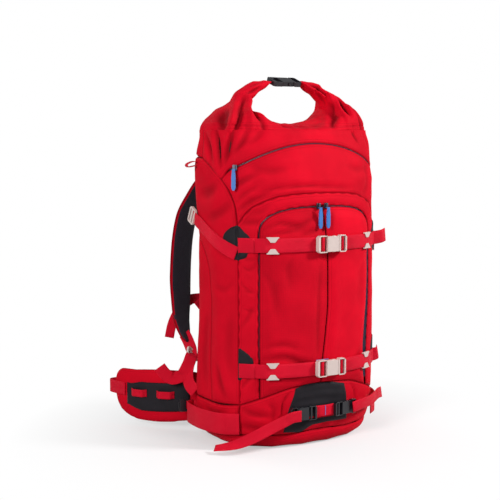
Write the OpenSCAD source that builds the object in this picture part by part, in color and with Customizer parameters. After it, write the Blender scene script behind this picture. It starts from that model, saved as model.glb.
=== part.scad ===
// Ski touring backpack with a rolled collar, ski loops and a carry strap.
// Units are millimetres. The pack stands on z = 0, its front faces -Y
// and the side that lies on the wearer's back faces +Y.

/* [Bag] */
// Widest width of the packed bag
pack_width = 330; // [275:1:400]
// Height of the packed bag up to the dip of its rolled collar
body_height = 575; // [475:1:690]
// Distance from the middle plane to the front of the bag
front_depth = 116; // [95:1:140]
// Distance from the middle plane to the back of the bag
back_depth = 66; // [55:1:80]
// Roundness of the front half of the bag's section, 2 is an ellipse
front_round = 2.3; // [2:0.1:3]
// Height of the dark seam above the bottom panel
boot_height = 75; // [60:1:95]

/* [Collar ring] */
// Half width of the hand opening under the rolled collar
ring_half = 82; // [70:1:90]
// Height of the buckle that closes the ring, above the collar's dip
ring_rise = 76; // [60:1:95]

/* [Pockets] */
// Half width of the front pocket
pocket_half = 112; // [90:1:118]
// Height of the front pocket's zip arch
pocket_top = 425; // [400:1:435]
// Thickness the front pocket stands proud of the bag
pocket_rise = 6; // [3:0.5:9]
// Width of a zip's tape and coil
zip_width = 8; // [6:0.5:8]
// Height of the top pocket's zip arch
lid_top = 540; // [525:1:545]

/* [Webbing] */
// Width of the webbing and of the buckles that take it
web = 25; // [20:1:25]
// Thickness of the webbing
web_thick = 1.4; // [1:0.1:1.6]
// Height of the upper compression strap
upper_z = 365; // [340:1:380]
// Height of the lower compression strap
lower_z = 145; // [140:1:160]
// Distance of the buckle centres from the pack's middle plane
buckle_x = 7; // [0:1:12]

/* [Harness] */
// Thickness of the back pads
pad_thick = 12; // [6:1:16]
// Half width of a shoulder strap
strap_half = 32; // [25:1:35]
// Half thickness of a shoulder strap
strap_pad = 6; // [4:0.5:7]
// Half height of a hip wing
wing_half = 50; // [35:1:52]
// Half thickness of a hip wing
wing_pad = 7; // [4:0.5:9]

/* [Hidden] */

back_round = 7;
gap = 0.3;
snug = 1;
k = web / 25;
hs = body_height / 575;
bag_top = 0.974 * body_height;
arch_z = pocket_top * hs;
lid_z = lid_top * hs;

// Half width, front depth and back depth against the height as a share of the body height.
width_curve = [[0, 0.82], [0.026, 0.91], [0.07, 0.97], [0.13, 1], [0.435, 0.99], [0.63, 0.985],
    [0.87, 1], [0.974, 0.975], [1.2, 0.95]];
front_curve = [[0, 0.76], [0.026, 0.86], [0.07, 0.93], [0.13, 0.97], [0.235, 1], [0.435, 1.017],
    [0.63, 1], [0.75, 0.95], [0.87, 0.845], [0.94, 0.74], [0.974, 0.63], [1.2, 0.5]];
back_curve = [[0, 0.94], [0.026, 1.07], [0.07, 1.13], [0.13, 1.13], [0.235, 1.05], [0.435, 0.92],
    [0.63, 0.97], [0.75, 1.07], [0.87, 1.16], [0.974, 1.05], [1.2, 1]];

function half_w(z) = pack_width / 2 * lookup(z / body_height, width_curve);
function front_d(z) = front_depth * lookup(z / body_height, front_curve);
function back_d(z) = back_depth * lookup(z / body_height, back_curve);
function bow(r, n) = pow(max(0, 1 - pow(min(1, abs(r)), n)), 1 / n);

// A point on the bag's skin, pushed out by off: on the front by x and z, on a side by y and z.
function front_at(x, z, off) =
    [x, -(front_d(z) + off) * bow(x / (half_w(z) + off), front_round), z];
function side_at(side, y, z, off) =
    [side * (half_w(z) + off) * (y < 0 ? bow(y / (front_d(z) + off), front_round)
        : bow(y / (back_d(z) + off), back_round)), y, z];
function place(surf, p, off) = surf == 0 ? front_at(p[0], p[1], off) : side_at(surf, p[0], p[1], off);
// The most forward y that the skin reaches under a strap at height z.
function reach(x, z, off) =
    min(front_at(x, z - web / 2, off)[1], front_at(x, z, off)[1], front_at(x, z + web / 2, off)[1]);

function unit(v) = v / norm(v);
function total(v) = v * [for (i = v) 1];
function ends(path, i) = path[min(i + 1, len(path) - 1)] - path[max(i - 1, 0)];

// A closed solid from points and triangles, turned the right way out.
module solid(points, faces) {
    v = total([for (f = faces) points[f[0]] * cross(points[f[1]], points[f[2]])]);
    polyhedron(points, v > 0 ? [for (f = faces) [f[2], f[1], f[0]]] : faces);
}

// A solid through rings of points, all with the same number of points.
module loft(rings) {
    n = len(rings[0]);
    m = len(rings);
    last = (m - 1) * n;
    solid([for (r = rings) each r], concat(
        [for (i = [0:m - 2]) for (j = [0:n - 1]) let (a = i * n + j, b = i * n + (j + 1) % n)
            each [[a, b, b + n], [a, b + n, a + n]]],
        [for (j = [1:n - 2]) [0, j + 1, j]],
        [for (j = [1:n - 2]) [last, last + j, last + j + 1]]));
}

// A padded sheet on the bag's skin. Each column is a list of [u, z] places.
module panel(surf, cols, off0, off1) {
    m = len(cols);
    r = len(cols[0]);
    s = m * r;
    solid(concat([for (c = cols) for (p = c) place(surf, p, off0)],
        [for (i = [0:m - 1]) for (j = [0:r - 1]) place(surf, cols[i][j],
            (i == 0 || i == m - 1 || j == 0 || j == r - 1) ? (off0 + off1) / 2 : off1)]),
        concat(
            [for (i = [0:m - 2]) for (j = [0:r - 2]) let (a = i * r + j, b = a + r)
                each [[a, b, b + 1], [a, b + 1, a + 1],
                    [s + a, s + b + 1, s + b], [s + a, s + a + 1, s + b + 1]]],
            [for (i = [0:m - 2]) let (a = i * r, b = a + r, c = a + r - 1, d = c + r)
                each [[a, s + b, b], [a, s + a, s + b], [c, d, s + d], [c, s + d, s + c]]],
            [for (j = [0:r - 2]) let (a = j, c = (m - 1) * r + j)
                each [[a, a + 1, s + a + 1], [a, s + a + 1, s + a],
                    [c, s + c + 1, c + 1], [c, s + c, s + c + 1]]]));
}

// A flat ribbon that follows a path of [u, z] places on the bag's skin.
module ribbon(surf, path, width, off0, off1) {
    loft([for (i = [0:len(path) - 1])
        let (t = unit(ends(path, i)), n = [-t[1], t[0]] * width / 2, a = path[i] + n, b = path[i] - n)
        [place(surf, a, off0), place(surf, b, off0), place(surf, b, off1), place(surf, a, off1)]]);
}

// A webbing strip: a 2D path thickened to one side, upright from z - height/2 to z + height/2.
module strip(path, thick, z, height) {
    side = [for (i = [0:len(path) - 1]) let (t = unit(ends(path, i))) path[i] + [t[1], -t[0]] * thick];
    translate([0, 0, z - height / 2])
        linear_extrude(height) polygon(concat(path, [for (i = [len(path) - 1:-1:0]) side[i]]));
}

// A padded band along stations of [centre, width direction, half width, half thickness].
module padded(stations) {
    c = [for (s = stations) s[0]];
    loft([for (i = [0:len(stations) - 1])
        let (t = unit(ends(c, i)), n = unit(cross(t, stations[i][1])), b = cross(n, t),
            w = stations[i][2], h = stations[i][3])
        [for (q = [[1, 0.4], [0.88, 1], [-0.88, 1], [-1, 0.4], [-1, -0.4], [-0.88, -1], [0.88, -1],
            [1, -0.4]]) c[i] + b * w * q[0] + n * h * q[1]]]);
}

// One half of the sloping bevelled outline of a plate that stands on y = 0.
module plate(x0, x1, half, thick, cut) {
    translate([0, thick / 2, 0]) rotate([90, 0, 0]) linear_extrude(thick) polygon([
        [x0 + cut, -half], [x1 - cut, -half], [x1, -half + cut], [x1, half - cut],
        [x1 - cut, half], [x0 + cut, half], [x0, half - cut], [x0, -half + cut]]);
}

module block(x0, x1, y0, y1, z0, z1) {
    translate([x0, y0, z0]) cube([x1 - x0, y1 - y0, z1 - z0]);
}

// The half of a side release buckle that the prongs enter. X runs along the webbing.
module female(s) {
    difference() {
        union() {
            plate(-30 * s, -9 * s, 15 * s, 9 * s, 3 * s);
            plate(-13 * s, 13 * s, 13.4 * s, 9 * s, 1 * s);
        }
        block(-26 * s, -20.4 * s, -6 * s, 6 * s, -13.2 * s, 13.2 * s);
        block(-16.4 * s, -11 * s, -6 * s, 6 * s, -13.2 * s, 13.2 * s);
        block(-21 * s, -16 * s, -6 * s, -1.5 * s, -13.2 * s, 13.2 * s);
        block(-21 * s, -16 * s, 1.5 * s, 6 * s, -13.2 * s, 13.2 * s);
        block(-8 * s, 14 * s, -2.6 * s, 2.6 * s, -11.4 * s, 11.4 * s);
        block(0, 14 * s, -2.6 * s, 2.6 * s, -16 * s, 16 * s);
    }
}

// The half of a side release buckle that carries the two springing prongs.
module male(s) {
    difference() {
        plate(13.6 * s, 30 * s, 15 * s, 9 * s, 3 * s);
        block(17 * s, 20.9 * s, -6 * s, 6 * s, -13.2 * s, 13.2 * s);
        block(23.7 * s, 27.6 * s, -6 * s, 6 * s, -13.2 * s, 13.2 * s);
        block(20.8 * s, 23.8 * s, -6 * s, -1.5 * s, -13.2 * s, 13.2 * s);
        block(20.8 * s, 23.8 * s, 1.5 * s, 6 * s, -13.2 * s, 13.2 * s);
    }
    translate([0, 2.2 * s, 0]) rotate([90, 0, 0]) linear_extrude(4.4 * s) {
        polygon([[-4 * s, -2.5 * s], [13.8 * s, -3.5 * s], [13.8 * s, 3.5 * s], [-4 * s, 2.5 * s]]);
        for (m = [-1, 1])
            polygon([[13.8 * s, m * 7.5 * s], [-5 * s, m * 7.5 * s], [-5 * s, m * 9.5 * s],
                [0.6 * s, m * 11 * s], [2.6 * s, m * 14.2 * s], [7 * s, m * 14.2 * s], [7.5 * s, m * 10.8 * s],
                [13.8 * s, m * 10.8 * s]]);
    }
}

// The webbing's turn around a buckle's bar at x, for a bar that is wide along x.
module web_turn(x, wide, s) {
    difference() {
        block(x - wide / 2 - 1.6 * s, x + wide / 2 + 1.6 * s, -3.2 * s, 4.7 * s, -web * s / 2, web * s / 2);
        block(x - wide / 2 - 0.3 * s, x + wide / 2 + 0.3 * s, -1.9 * s, 1.9 * s, -web * s, web * s);
    }
}

// A ladder lock for 25 mm webbing, lying in the XZ plane.
module ladder_lock(s) {
    difference() {
        plate(-11 * s, 11 * s, 16 * s, 5 * s, 3 * s);
        for (x = [-5, 5]) block(x * s - 2.6 * s, x * s + 2.6 * s, -4 * s, 4 * s, -13 * s, 13 * s);
    }
}

/* Bag */

ring_turns = concat([for (t = [180:10:360]) t], [2, 10, 25, 45, 65, 80, 100, 115, 135, 155, 170, 178]);

function skin(t, z) = let (c = cos(t), s = sin(t), e = 2 / (s < 0 ? front_round : back_round))
    [half_w(z) * sign(c) * pow(abs(c), e), (s < 0 ? front_d(z) : back_d(z)) * sign(s) * pow(abs(s), e), z];
module bag_loft(heights) {
    loft([for (z = heights) [for (t = ring_turns) skin(t, z)]]);
}

module main_bag() {
    color("#c8102e") bag_loft([boot_height, for (s = [0.235, 0.335, 0.435, 0.53, 0.63, 0.75, 0.87, 0.94, 0.974])
        s * body_height]);
}

module boot() {
    color("#b80f28") bag_loft([0, 0.012 * body_height, 0.026 * body_height, 0.07 * body_height, boot_height]);
}

// The collar closes the bag and climbs on both sides of the hand opening to the two arms.
function ridge_z(x, outer) = let (r = abs(x) / (pack_width / 2), rise = ring_rise / 76)
    body_height + rise * (outer
        ? lookup(r, [[0.45, 68], [0.5, 66], [0.67, 52], [0.76, 41], [0.85, 27], [0.92, 12], [0.96, 0]])
        : lookup(r, [[0, 0], [0.25, 5], [0.4, 14], [0.5, 32], [0.6, 50]]));
function collar_ring(x, outer) = let (
        z0 = bag_top, z1 = max(z0 + 3, ridge_z(x, outer)), yf = front_at(x, z0, 0)[1],
        yb = back_d(z0) * bow(x / half_w(z0), back_round),
        t = outer ? 17 : 9, ym = 15,
        lift = z1 - z0, g = outer ? lookup(abs(x) - ring_half, [[0, 0], [35, 1]]) : 1,
        a = 0.3 + 0.3 * g, z2 = z0 + lift * (0.5 + 0.28 * g), z3 = z0 + lift * (0.86 + 0.09 * g))
    [[x, yf, z0], [x, yf * 0.93 + ym * 0.07, z0 + lift * (0.24 + 0.16 * g)],
        [x, yf * a + (ym - t) * (1 - a), z2], [x, (ym - t) * 0.88 + yf * 0.12, z3], [x, ym, z1],
        [x, (ym + t) * 0.88 + yb * 0.12, z3], [x, yb * a + (ym + t) * (1 - a), z2],
        [x, yb * 0.95 + ym * 0.05, z0 + lift * (0.24 + 0.16 * g)], [x, yb, z0]];

module collar() {
    w = half_w(bag_top);
    half = concat([for (r = [0, 0.25, 0.5, 0.75, 0.999]) [r * ring_half, false]],
        [for (x = concat([ring_half], [for (r = [0.3, 0.6, 0.8, 0.92, 0.985])
            ring_half + r * (w - ring_half)])) [x, true]]);
    color("#c8102e") loft(concat(
        [for (i = [len(half) - 1:-1:1]) collar_ring(-half[i][0], half[i][1])],
        [for (h = half) collar_ring(h[0], h[1])]));
}

// Half of the ring: from the collar's shoulder up to the closing buckle.
module roll_arm(side) {
    z1 = body_height + ring_rise;
    zr = ridge_z(ring_half, true);
    stations = [[ring_half + 2, zr - 18, 16.5, 15], [ring_half - 9, zr - 12, 16, 15],
        [ring_half - 22, zr - 1, 14, 14], [48, z1 - 7.5, 10.5, 13], [40, z1 - 2.5, 6.5, 12], [31, z1, 1.6, 11]];
    intersection() {
        loft([for (i = [0:len(stations) - 1])
            let (s = stations[i], d = ends([for (q = stations) [q[0], q[1]]], i), t = i == 0 ? [-1, 0] : unit(d),
                n = [t[1], -t[0]])
            [for (a = [0:30:330]) [side * (s[0] + n[0] * s[2] * cos(a)), 15 + s[3] * 1.1 * sin(a),
                s[1] + n[1] * s[2] * cos(a)]]]);
        block(0.05 - 0.999 * ring_half, 0.999 * ring_half - 0.05, -100, 100, 0, 2 * body_height);
    }
}
module roll_arm_left() { color("#c8102e") roll_arm(-1); }
module roll_arm_right() { color("#c8102e") roll_arm(1); }
module at_roll_buckle() {
    translate([0, 15, body_height + ring_rise]) rotate([-70, 0, 0]) children();
}
module roll_female() { color("#16161a") at_roll_buckle() female(1); }
module roll_male() { color("#16161a") at_roll_buckle() male(1); }

/* Pockets and zips */

function pocket_arch(x, half, top) = 0.652 * body_height + (top - 0.652 * body_height) * bow(x / half, 3);
arch_steps = [for (a = [-90:7.5:90]) sin(a)];
function lid_arch(x) = lid_z - 275 + sqrt(275 * 275 - x * x);
function lid_edge(x) = 0.69 * body_height + 61 * hs * bow(x / 140, 2.4);

module front_pocket() {
    color("#d0112f") panel(0, [for (r = arch_steps) let (x = r * pocket_half,
        z0 = 116 * hs, z1 = pocket_arch(x, pocket_half, arch_z))
        [for (s = [0, 0.02, 0.16, 0.33, 0.5, 0.67, 0.84, 0.98, 1]) [x, z0 + s * (z1 - z0)]]], snug, pocket_rise);
}

module top_pocket() {
    color("#d0112f") panel(0, [for (r = arch_steps) let (x = r * 138, z0 = lid_edge(x), z1 = lid_arch(x) - 6)
        [for (s = [0, 0.06, 0.35, 0.65, 0.94, 1]) [x, z0 + s * (z1 - z0)]]], snug, 4);
}

module pocket_zip() {
    half = pocket_half + zip_width / 2 + 1.2;
    color("#1b1d2b") ribbon(0, concat([for (z = [165, 235, 305]) [-half, z * hs]],
        [for (r = arch_steps) [r * half, pocket_arch(r * half, half, arch_z + 5)]],
        [for (z = [305, 235, 165]) [half, z * hs]]), zip_width, snug, 2.6);
}

module top_zip() {
    color("#1b1d2b") ribbon(0, [for (a = [-33.5:1.675:33.5]) [275 * sin(a), lid_arch(275 * sin(a))]],
        zip_width, snug, 2.6);
}

// A zip slider at a place on the front, and the cord puller that hangs from it.
module zip_slider(x, z) {
    p = front_at(x, z, 3.4);
    color("#20222c") translate(p) rotate([0, 0, atan2(p[1] - front_at(x - 1, z, 3.4)[1], 1)]) {
        block(-4, 4, -2, 0, -3.8, 6);
        block(-1.5, 1.5, -4.5, -1.9, -3.8, -2.8);
        block(-1.5, 1.5, -4.5, -1.9, 4, 6);
        block(-1.5, 1.5, -4.5, -3.6, -3.8, 6);
    }
}
module zip_puller(x, z) {
    p = front_at(x, z, 3.4);
    color("#2f7fd0") translate(p) rotate([0, 0, atan2(p[1] - front_at(x - 1, z, 3.4)[1], 1)]) {
        block(-2.9, 2.9, -3.15, -2.45, -1.95, -1.25);
        for (x = [-2.9, 1.9]) block(x, x + 1, -8.8, -2.45, -1.95, -1.25);
        block(-2.9, 2.9, -8.8, -7.9, -8, -1.25);
        translate([0, -6.8, 0]) rotate([90, 0, 0]) linear_extrude(2.8)
            polygon([[-2.6, -6], [2.6, -6], [3.6, -14], [3.6, -33], [1.6, -38], [-1.6, -38],
                [-3.6, -33], [-3.6, -14]]);
    }
}
module pocket_slider_left() { zip_slider(-11, arch_z + 5); }
module pocket_slider_right() { zip_slider(5, arch_z + 5); }
module top_slider() { zip_slider(-147, lid_arch(-147)); }
module pocket_puller_left() { zip_puller(-11, arch_z + 5); }
module pocket_puller_right() { zip_puller(5, arch_z + 5); }
module top_puller() { zip_puller(-147, lid_arch(-147)); }

/* Back */

back_steps = [for (s = [0.12:0.08:0.84]) s * body_height];
function back_line(off) = [for (z = back_steps) [back_d(z) + off, z]];
module back_strip(off, thick, half, lo, hi) {
    line = [for (z = back_steps) if (z >= lo - 1 && z <= hi + 1) [back_d(z) + off, z]];
    rotate([90, 0, 90]) translate([0, 0, -half]) linear_extrude(2 * half) polygon(concat(line,
        [for (i = [len(line) - 1:-1:0]) line[i] + [thick, 0]]));
}
module frame_sheet() { color("#2a2b2e") back_strip(gap, 1.5, 0.36 * pack_width, 0, body_height); }
module aluminium_stay() { color("#b9bcc0") back_strip(gap + 1.6, 3, 12, 0, body_height); }
module back_pads() {
    color("#26272b") for (side = [-1, 1]) translate([side * (14 + 0.18 * pack_width), 0, 0])
        back_strip(gap + 1.6, pad_thick, 0.18 * pack_width, 0, body_height);
}

/* Harness */

strap_path = [[-52, 94, 452], [-56, 122, 478], [-70, 158, 474], [-92, 181, 438], [-112, 187, 398],
    [-123, 185, 340], [-126, 184, 285], [-127, 177, 238], [-128, 164, 198], [-130, 137, 168]];
strap_wide = [0.86, 0.95, 1, 1, 1, 1, 1, 0.95, 0.8, 0.6];
strap_turn = [0, 4, 12, 20, 25, 25, 25, 27, 30, 36];
module shoulder_strap(side) {
    padded([for (i = [0:len(strap_path) - 1]) let (p = strap_path[i], a = strap_turn[i])
        [[-side * p[0], p[1] + back_depth - 66 + pad_thick - 12, p[2] * hs],
            [-side * cos(a), sin(a), 0], strap_half * strap_wide[i], strap_pad]]);
}
module shoulder_strap_left() { color("#c8102e") shoulder_strap(-1); }
module shoulder_strap_right() { color("#c8102e") shoulder_strap(1); }

// Webbing from the foot of each shoulder strap, through a ladder lock, to the bag's side.
module lower_webbing() {
    y = back_depth + pad_thick - 78;
    run = [[131, 134, 163], [146, 116, 140], [159, 97, 133], [pack_width / 2 + 2, 76, 129], [pack_width / 2 + 2, 56, 127]];
    tail = [[150, 97, 150], [171, 101, 153], [190, 112, 137], [199, 118, 112], [201, 120, 94]];
    color("#c8102e") for (side = [-1, 1]) for (path = [run, tail])
        padded([for (i = [0:len(path) - 1]) let (p = path[i], lean = path == run ? [0.35, 0.3, 0.9] : [0.5, 0.75, 0.35])
            [[side * p[0], p[1] + y, p[2] * hs], [side * lean[0], lean[1], lean[2]], web / 2 - 0.5, 0.7]]);
}
module ladder_locks() {
    y = back_depth + pad_thick - 78;
    color("#cdbfb8") for (side = [-1, 1]) {
        translate([side * 142.4, 110.8 + y, 143.2 * hs]) multmatrix([[side * 0.51, -side * 0.5, side * 0.7],
            [-0.67, -0.74, 0.0], [-0.54, 0.44, 0.71]]) ladder_lock(0.9 * k);
        translate(side_at(side, 59, 0.712 * body_height, 9)) rotate([26, 0, 0]) rotate([0, 0, 90]) ladder_lock(0.95 * k);
    }
}
module load_lifters() {
    y = back_depth + pad_thick - 78;
    color("#c8102e") for (side = [-1, 1])
        padded([[[side * 66, 146 + y, 489 * hs], [1, 0, 0], 9, 0.7],
            [[side * 58, 118 + y, 503 * hs], [1, 0, 0], 9, 0.7],
            [[side * 54, back_d(520 * hs) + 2, 520 * hs], [1, 0, 0], 9, 0.7]]);
}

sternum_y = 197 + back_depth + pad_thick - 78;
sternum_z = 233 * hs;
module sternum_strip(x0, x1) {
    block(min(x0, x1), max(x0, x1), sternum_y + 4.6 * 0.8, sternum_y + 5 * 0.8 + 1.2, sternum_z - 10, sternum_z + 10);
}
module at_sternum() { translate([0, sternum_y, sternum_z]) children(); }
module sternum_web_left() {
    color("#a50e24") { sternum_strip(-91, -14); at_sternum() web_turn(-18.4 * 0.8, 4 * 0.8, 0.8); }
}
module sternum_female() { color("#cdbfb8") at_sternum() female(0.8); }
module sternum_male() { color("#cdbfb8") at_sternum() male(0.8); }
module sternum_web_right() {
    color("#a50e24") { sternum_strip(17, 91); at_sternum() web_turn(22.3 * 0.8, 2.8 * 0.8, 0.8); }
}

/* Hip belt */

wing_path = [[-120, 99, 64], [-156, 113, 64], [-193, 143, 62], [-220, 180, 61], [-236, 214, 66], [-242, 237, 72]];
wing_tall = [0.9, 0.98, 1.04, 1, 0.86, 0.66];
function wing_at(i, side, out) = let (p = wing_path[i], t = unit(ends(wing_path, i)),
        y = back_depth + pad_thick - 78)
    [-side * (p[0] - t[1] * out), p[1] + t[0] * out + y];
module hip_wing(side) {
    color("#c8102e") loft([for (i = [0:len(wing_path) - 1]) let (a = wing_at(i, side, wing_pad), b = wing_at(i, side, -wing_pad),
        h = wing_half * wing_tall[i], z = wing_path[i][2] * hs, m = (a + b) / 2)
        [for (q = [[a, 0.82], [m * 0.6 + a * 0.4, 1], [m * 0.6 + b * 0.4, 1], [b, 0.82], [b, -0.82],
            [m * 0.6 + b * 0.4, -1], [m * 0.6 + a * 0.4, -1], [a, -0.82]]) [q[0][0], q[0][1], z + h * q[1]]]]);
}
module hip_wing_left() { hip_wing(-1); }
module hip_wing_right() { hip_wing(1); }
// A thin facing on the wing's outer face, on all but its first and last station.
module hip_panel(side) {
    color("#1a1b1f") loft([for (i = [1:4]) let (a = wing_at(i, side, wing_pad + gap), b = wing_at(i, side, wing_pad + 1.8),
        h = 0.55 * wing_half * (i == 4 ? 0.82 : 1), z = (wing_path[i][2] - 1) * hs)
        [[a[0], a[1], z - h], [b[0], b[1], z - h], [b[0], b[1], z + h], [a[0], a[1], z + h]]]);
}
module hip_panel_left() { hip_panel(-1); }
module hip_panel_right() { hip_panel(1); }

// Two gear loops on the facing, and the belt's webbing that leaves the tip of the wing.
module hip_web(side) {
    function on(f, out) = let (i = floor(f), r = f - i)
        wing_at(i, side, wing_pad + out) * (1 - r) + wing_at(min(i + 1, 5), side, wing_pad + out) * r;
    y = back_depth + pad_thick - 78;
    color("#c8102e") {
        for (f = [1.55, 2.6]) strip_both([on(f, 2.2), on(f + 0.08, 3), on(f + 0.22, 7), on(f + 0.5, 8.5), on(f + 0.68, 7),
            on(f + 0.82, 3), on(f + 0.9, 2.2)], 1.2, 60 * hs, 15, -side);
        strip_both([on(4.1, 2.2), on(4.5, 2.2), on(4.9, 2.2), [side * 253, 243 + y], [side * 248, 252 + y],
            [side * 236, 253 + y], [side * 222, 249 + y], [side * 212, 239 + y]], 1.4, 70 * hs, web, -side);
        at_hip(side) {
            web_turn(side < 0 ? -18.4 * k : 22.3 * k, side < 0 ? 4 * k : 2.8 * k, k);
            block(side < 0 ? -36 : 21 * k, side < 0 ? -17 * k : 36, 4.6 * k, 4.6 * k + 1.4, -web / 2, web / 2);
        }
    }
}
module strip_both(path, thick, z, height, side) {
    strip(side < 0 ? path : [for (i = [len(path) - 1:-1:0]) path[i]], thick, z, height);
}
module hip_web_left() { hip_web(-1); }
module hip_web_right() { hip_web(1); }
module at_hip(side) {
    translate([side * 206, 203 + back_depth + pad_thick - 78, 70 * hs]) rotate([0, 0, side < 0 ? -72 : 72]) children();
}
module hip_female() { color("#cdbfb8") at_hip(-1) female(k); }
module hip_male() { color("#cdbfb8") at_hip(1) male(k); }

/* Loops */

module haul_loop() {
    color("#c8102e") translate([0, back_d(532 * hs) + 2.2, 540 * hs]) rotate([90, 0, 0]) linear_extrude(1.6) difference() {
            polygon([[-36, -8], [36, -8], [36, 14], [22, 34], [-22, 34], [-36, 14]]);
            polygon([[-22, -2], [22, -2], [22, 10], [14, 20], [-14, 20], [-22, 10]]);
        }
}
module hang_loops() {
    color("#c8102e") for (side = [-1, 1]) {
        translate([side * (half_w(0.875 * body_height) + 1), 46, 0.875 * body_height]) difference() {
            block(side < 0 ? -22 : 0, side < 0 ? 0 : 22, -5, 5, -7, 7);
            block(side < 0 ? -20.4 : 4, side < 0 ? -4 : 20.4, -6, 6, -5.4, 5.4);
        }
    }
}

ski_path = [[-163, 70], [-176, 66], [-183, 48], [-185, 15], [-180, -20], [-168, -48], [-152, -62]];
module ski_loops() {
    s = pack_width / 330;
    color("#c8102e") for (side = [-1, 1])
        strip_both([for (p = ski_path) [-side * p[0] * s, p[1]]], 1.8, 48 * hs, 38, -side);
}
module ski_hooks() {
    s = pack_width / 330;
    color("#1a1b1f") for (side = [-1, 1]) translate([side * 180 * s, 78, 52 * hs]) rotate([0, 0, side * 12]) {
        block(-6, 6, 0, 3, -8, 16);
        block(-6, 6, 3, 8, -8, -4);
        block(-6, 6, 8, 11, -8, 8);
    }
}

/* Compression straps */

keeper_x = pocket_half - 12;
corner_x = 0.86 * pack_width / 2;
function under(x) = lookup(abs(x), [[0, pocket_rise + 1.2], [pocket_half + 2, pocket_rise + 1.2],
    [pocket_half + 14, 2.4], [200, 2.4]]);
function run(x0, x1, z, n) = [for (i = [0:n]) let (x = x0 + (x1 - x0) * i / n) [x, reach(x, z, under(x))]];
// The buckle's middle plane stands this far in front of the webbing run.
function buckle_y(z) = reach(0, z, under(0)) - 1.4 - 0.4 - 4.5 * k;

module at_buckle(z) { translate([buckle_x, buckle_y(z), z]) children(); }
module strap_left(z) {
    color("#c8102e") {
        strip(run(-corner_x - 4, buckle_x - 20 * k, z, 10), web_thick, z, web);
        flat = reach(0, z, under(0));
        block(buckle_x - 22 * k, buckle_x - 16.4 * k + 1.6, flat - web_thick, flat, z - web / 2, z + web / 2);
        at_buckle(z) web_turn(-18.4 * k, 4 * k, k);
    }
}
module strap_right(z, tail) {
    color("#c8102e") {
        strip(run(buckle_x + 23 * k, corner_x + 4, z, 10), web_thick, z, web);
        flat = reach(0, z, under(0));
        block(buckle_x + 20.9 * k - 1.6, buckle_x + 25 * k, flat - web_thick, flat, z - web / 2, z + web / 2);
        at_buckle(z) web_turn(22.3 * k, 2.8 * k, k);
        p = [corner_x + 3.8, reach(corner_x + 3.8, z, under(corner_x))];
        strip([p, p + [tail * 0.5, -2], p + [tail, 5]], web_thick, z, web);
    }
}
module upper_web_left() { strap_left(upper_z * hs); }
module upper_female() { color("#cdbfb8") at_buckle(upper_z * hs) female(k); }
module upper_male() { color("#cdbfb8") at_buckle(upper_z * hs) male(k); }
module upper_web_right() { strap_right(upper_z * hs, 30); }
module lower_web_left() { strap_left(lower_z * hs); }
module lower_female() { color("#cdbfb8") at_buckle(lower_z * hs) female(k); }
module lower_male() { color("#cdbfb8") at_buckle(lower_z * hs) male(k); }
module lower_web_right() { strap_right(lower_z * hs, 14); }

// Plastic keepers: a plate under the webbing whose two ears fold over its edges.
module strap_keepers() {
    color("#cdbfb8") for (z = [upper_z * hs, lower_z * hs]) for (side = [-1, 1]) {
        x = side * keeper_x;
        y = reach(x, z, under(x));
        a = atan2(reach(x + 4, z, under(x + 4)) - reach(x - 4, z, under(x - 4)), 8);
        translate([x, y, z]) rotate([0, 0, a]) for (m = [-1, 1]) {
            block(-11, 11, -3.2, 0.3, m > 0 ? web / 2 + 0.4 : -web / 2 - 2.2, m > 0 ? web / 2 + 2.2 : -web / 2 - 0.4);
            translate([0, -2, 0]) rotate([90, 0, 0]) linear_extrude(1.2)
                polygon([[-11, m * (web / 2 + 2.2)], [11, m * (web / 2 + 2.2)], [4, m * (web / 2 - 7)],
                    [-4, m * (web / 2 - 7)]]);
        }
    }
}

// Dark reinforcing patches behind the sewn ends of the straps, over the corner seams.
module corner_patches() {
    color("#1a1b1f") for (side = [-1, 1]) for (z = [upper_z * hs, lower_z * hs])
        panel(0, [for (r = [-1:0.25:1]) let (x = side * (0.87 * pack_width / 2 + r * 14), h = 29 - 20 * abs(r))
            [for (s = [-1:0.5:1]) [x, z + s * h]]], 0.5, 1.8);
}

// Compression webbing that climbs from the corner seam back to its ladder lock.
module side_straps() {
    color("#c8102e") for (side = [-1, 1])
        ribbon(side, [for (r = [0:0.1:1]) [-44 + r * 90, (0.625 + 0.078 * r) * body_height]], web, 2.8, 4.2);
}

/* Carry strap on the bottom panel */

carry_z = 66;
carry_off = 2.4;
function carry_y(x) = reach(x, carry_z * hs, carry_off);
module rubber_patch() {
    color("#1a1b1f") panel(0, [for (r = [0, 0.1, 0.25, 0.4, 0.55, 0.7, 0.85, 0.95, 1]) [for (s = [0, 0.12, 0.25, 0.4, 0.55, 0.7, 0.85, 1])
        [(-70 + 118 * r) * (1 - s) + (-54 + 94 * r) * s, (30 + (r > 0.1 && r < 0.9 ? 0 : 6)) * (1 - s) * hs
            + (112 - (r > 0.1 && r < 0.9 ? 0 : 4)) * s * hs]]], snug, 2.2);
}
carry_base = -44;
module at_carry(side) {
    x = side < 0 ? carry_base : 46;
    s = 0.84;
    translate([x, min(carry_y(x - 24), carry_y(x + 24)) - 1.8 - 4.5 * s, carry_z * hs]) rotate([0, 0, side < 0 ? 180 - 6 : 6])
        children();
}
module carry_females() { color("#16161a") for (side = [-1, 1]) at_carry(side) female(0.84); }
module carry_male_left() { color("#16161a") at_carry(-1) male(0.84); }
module carry_male_right() { color("#16161a") at_carry(1) male(0.84); }
module carry_bridge() {
    color("#c8102e") strip([for (x = [-14, -8, 1, 10, 16]) [x, carry_y(x) - 3]], web_thick, carry_z * hs, 20);
}
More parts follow.
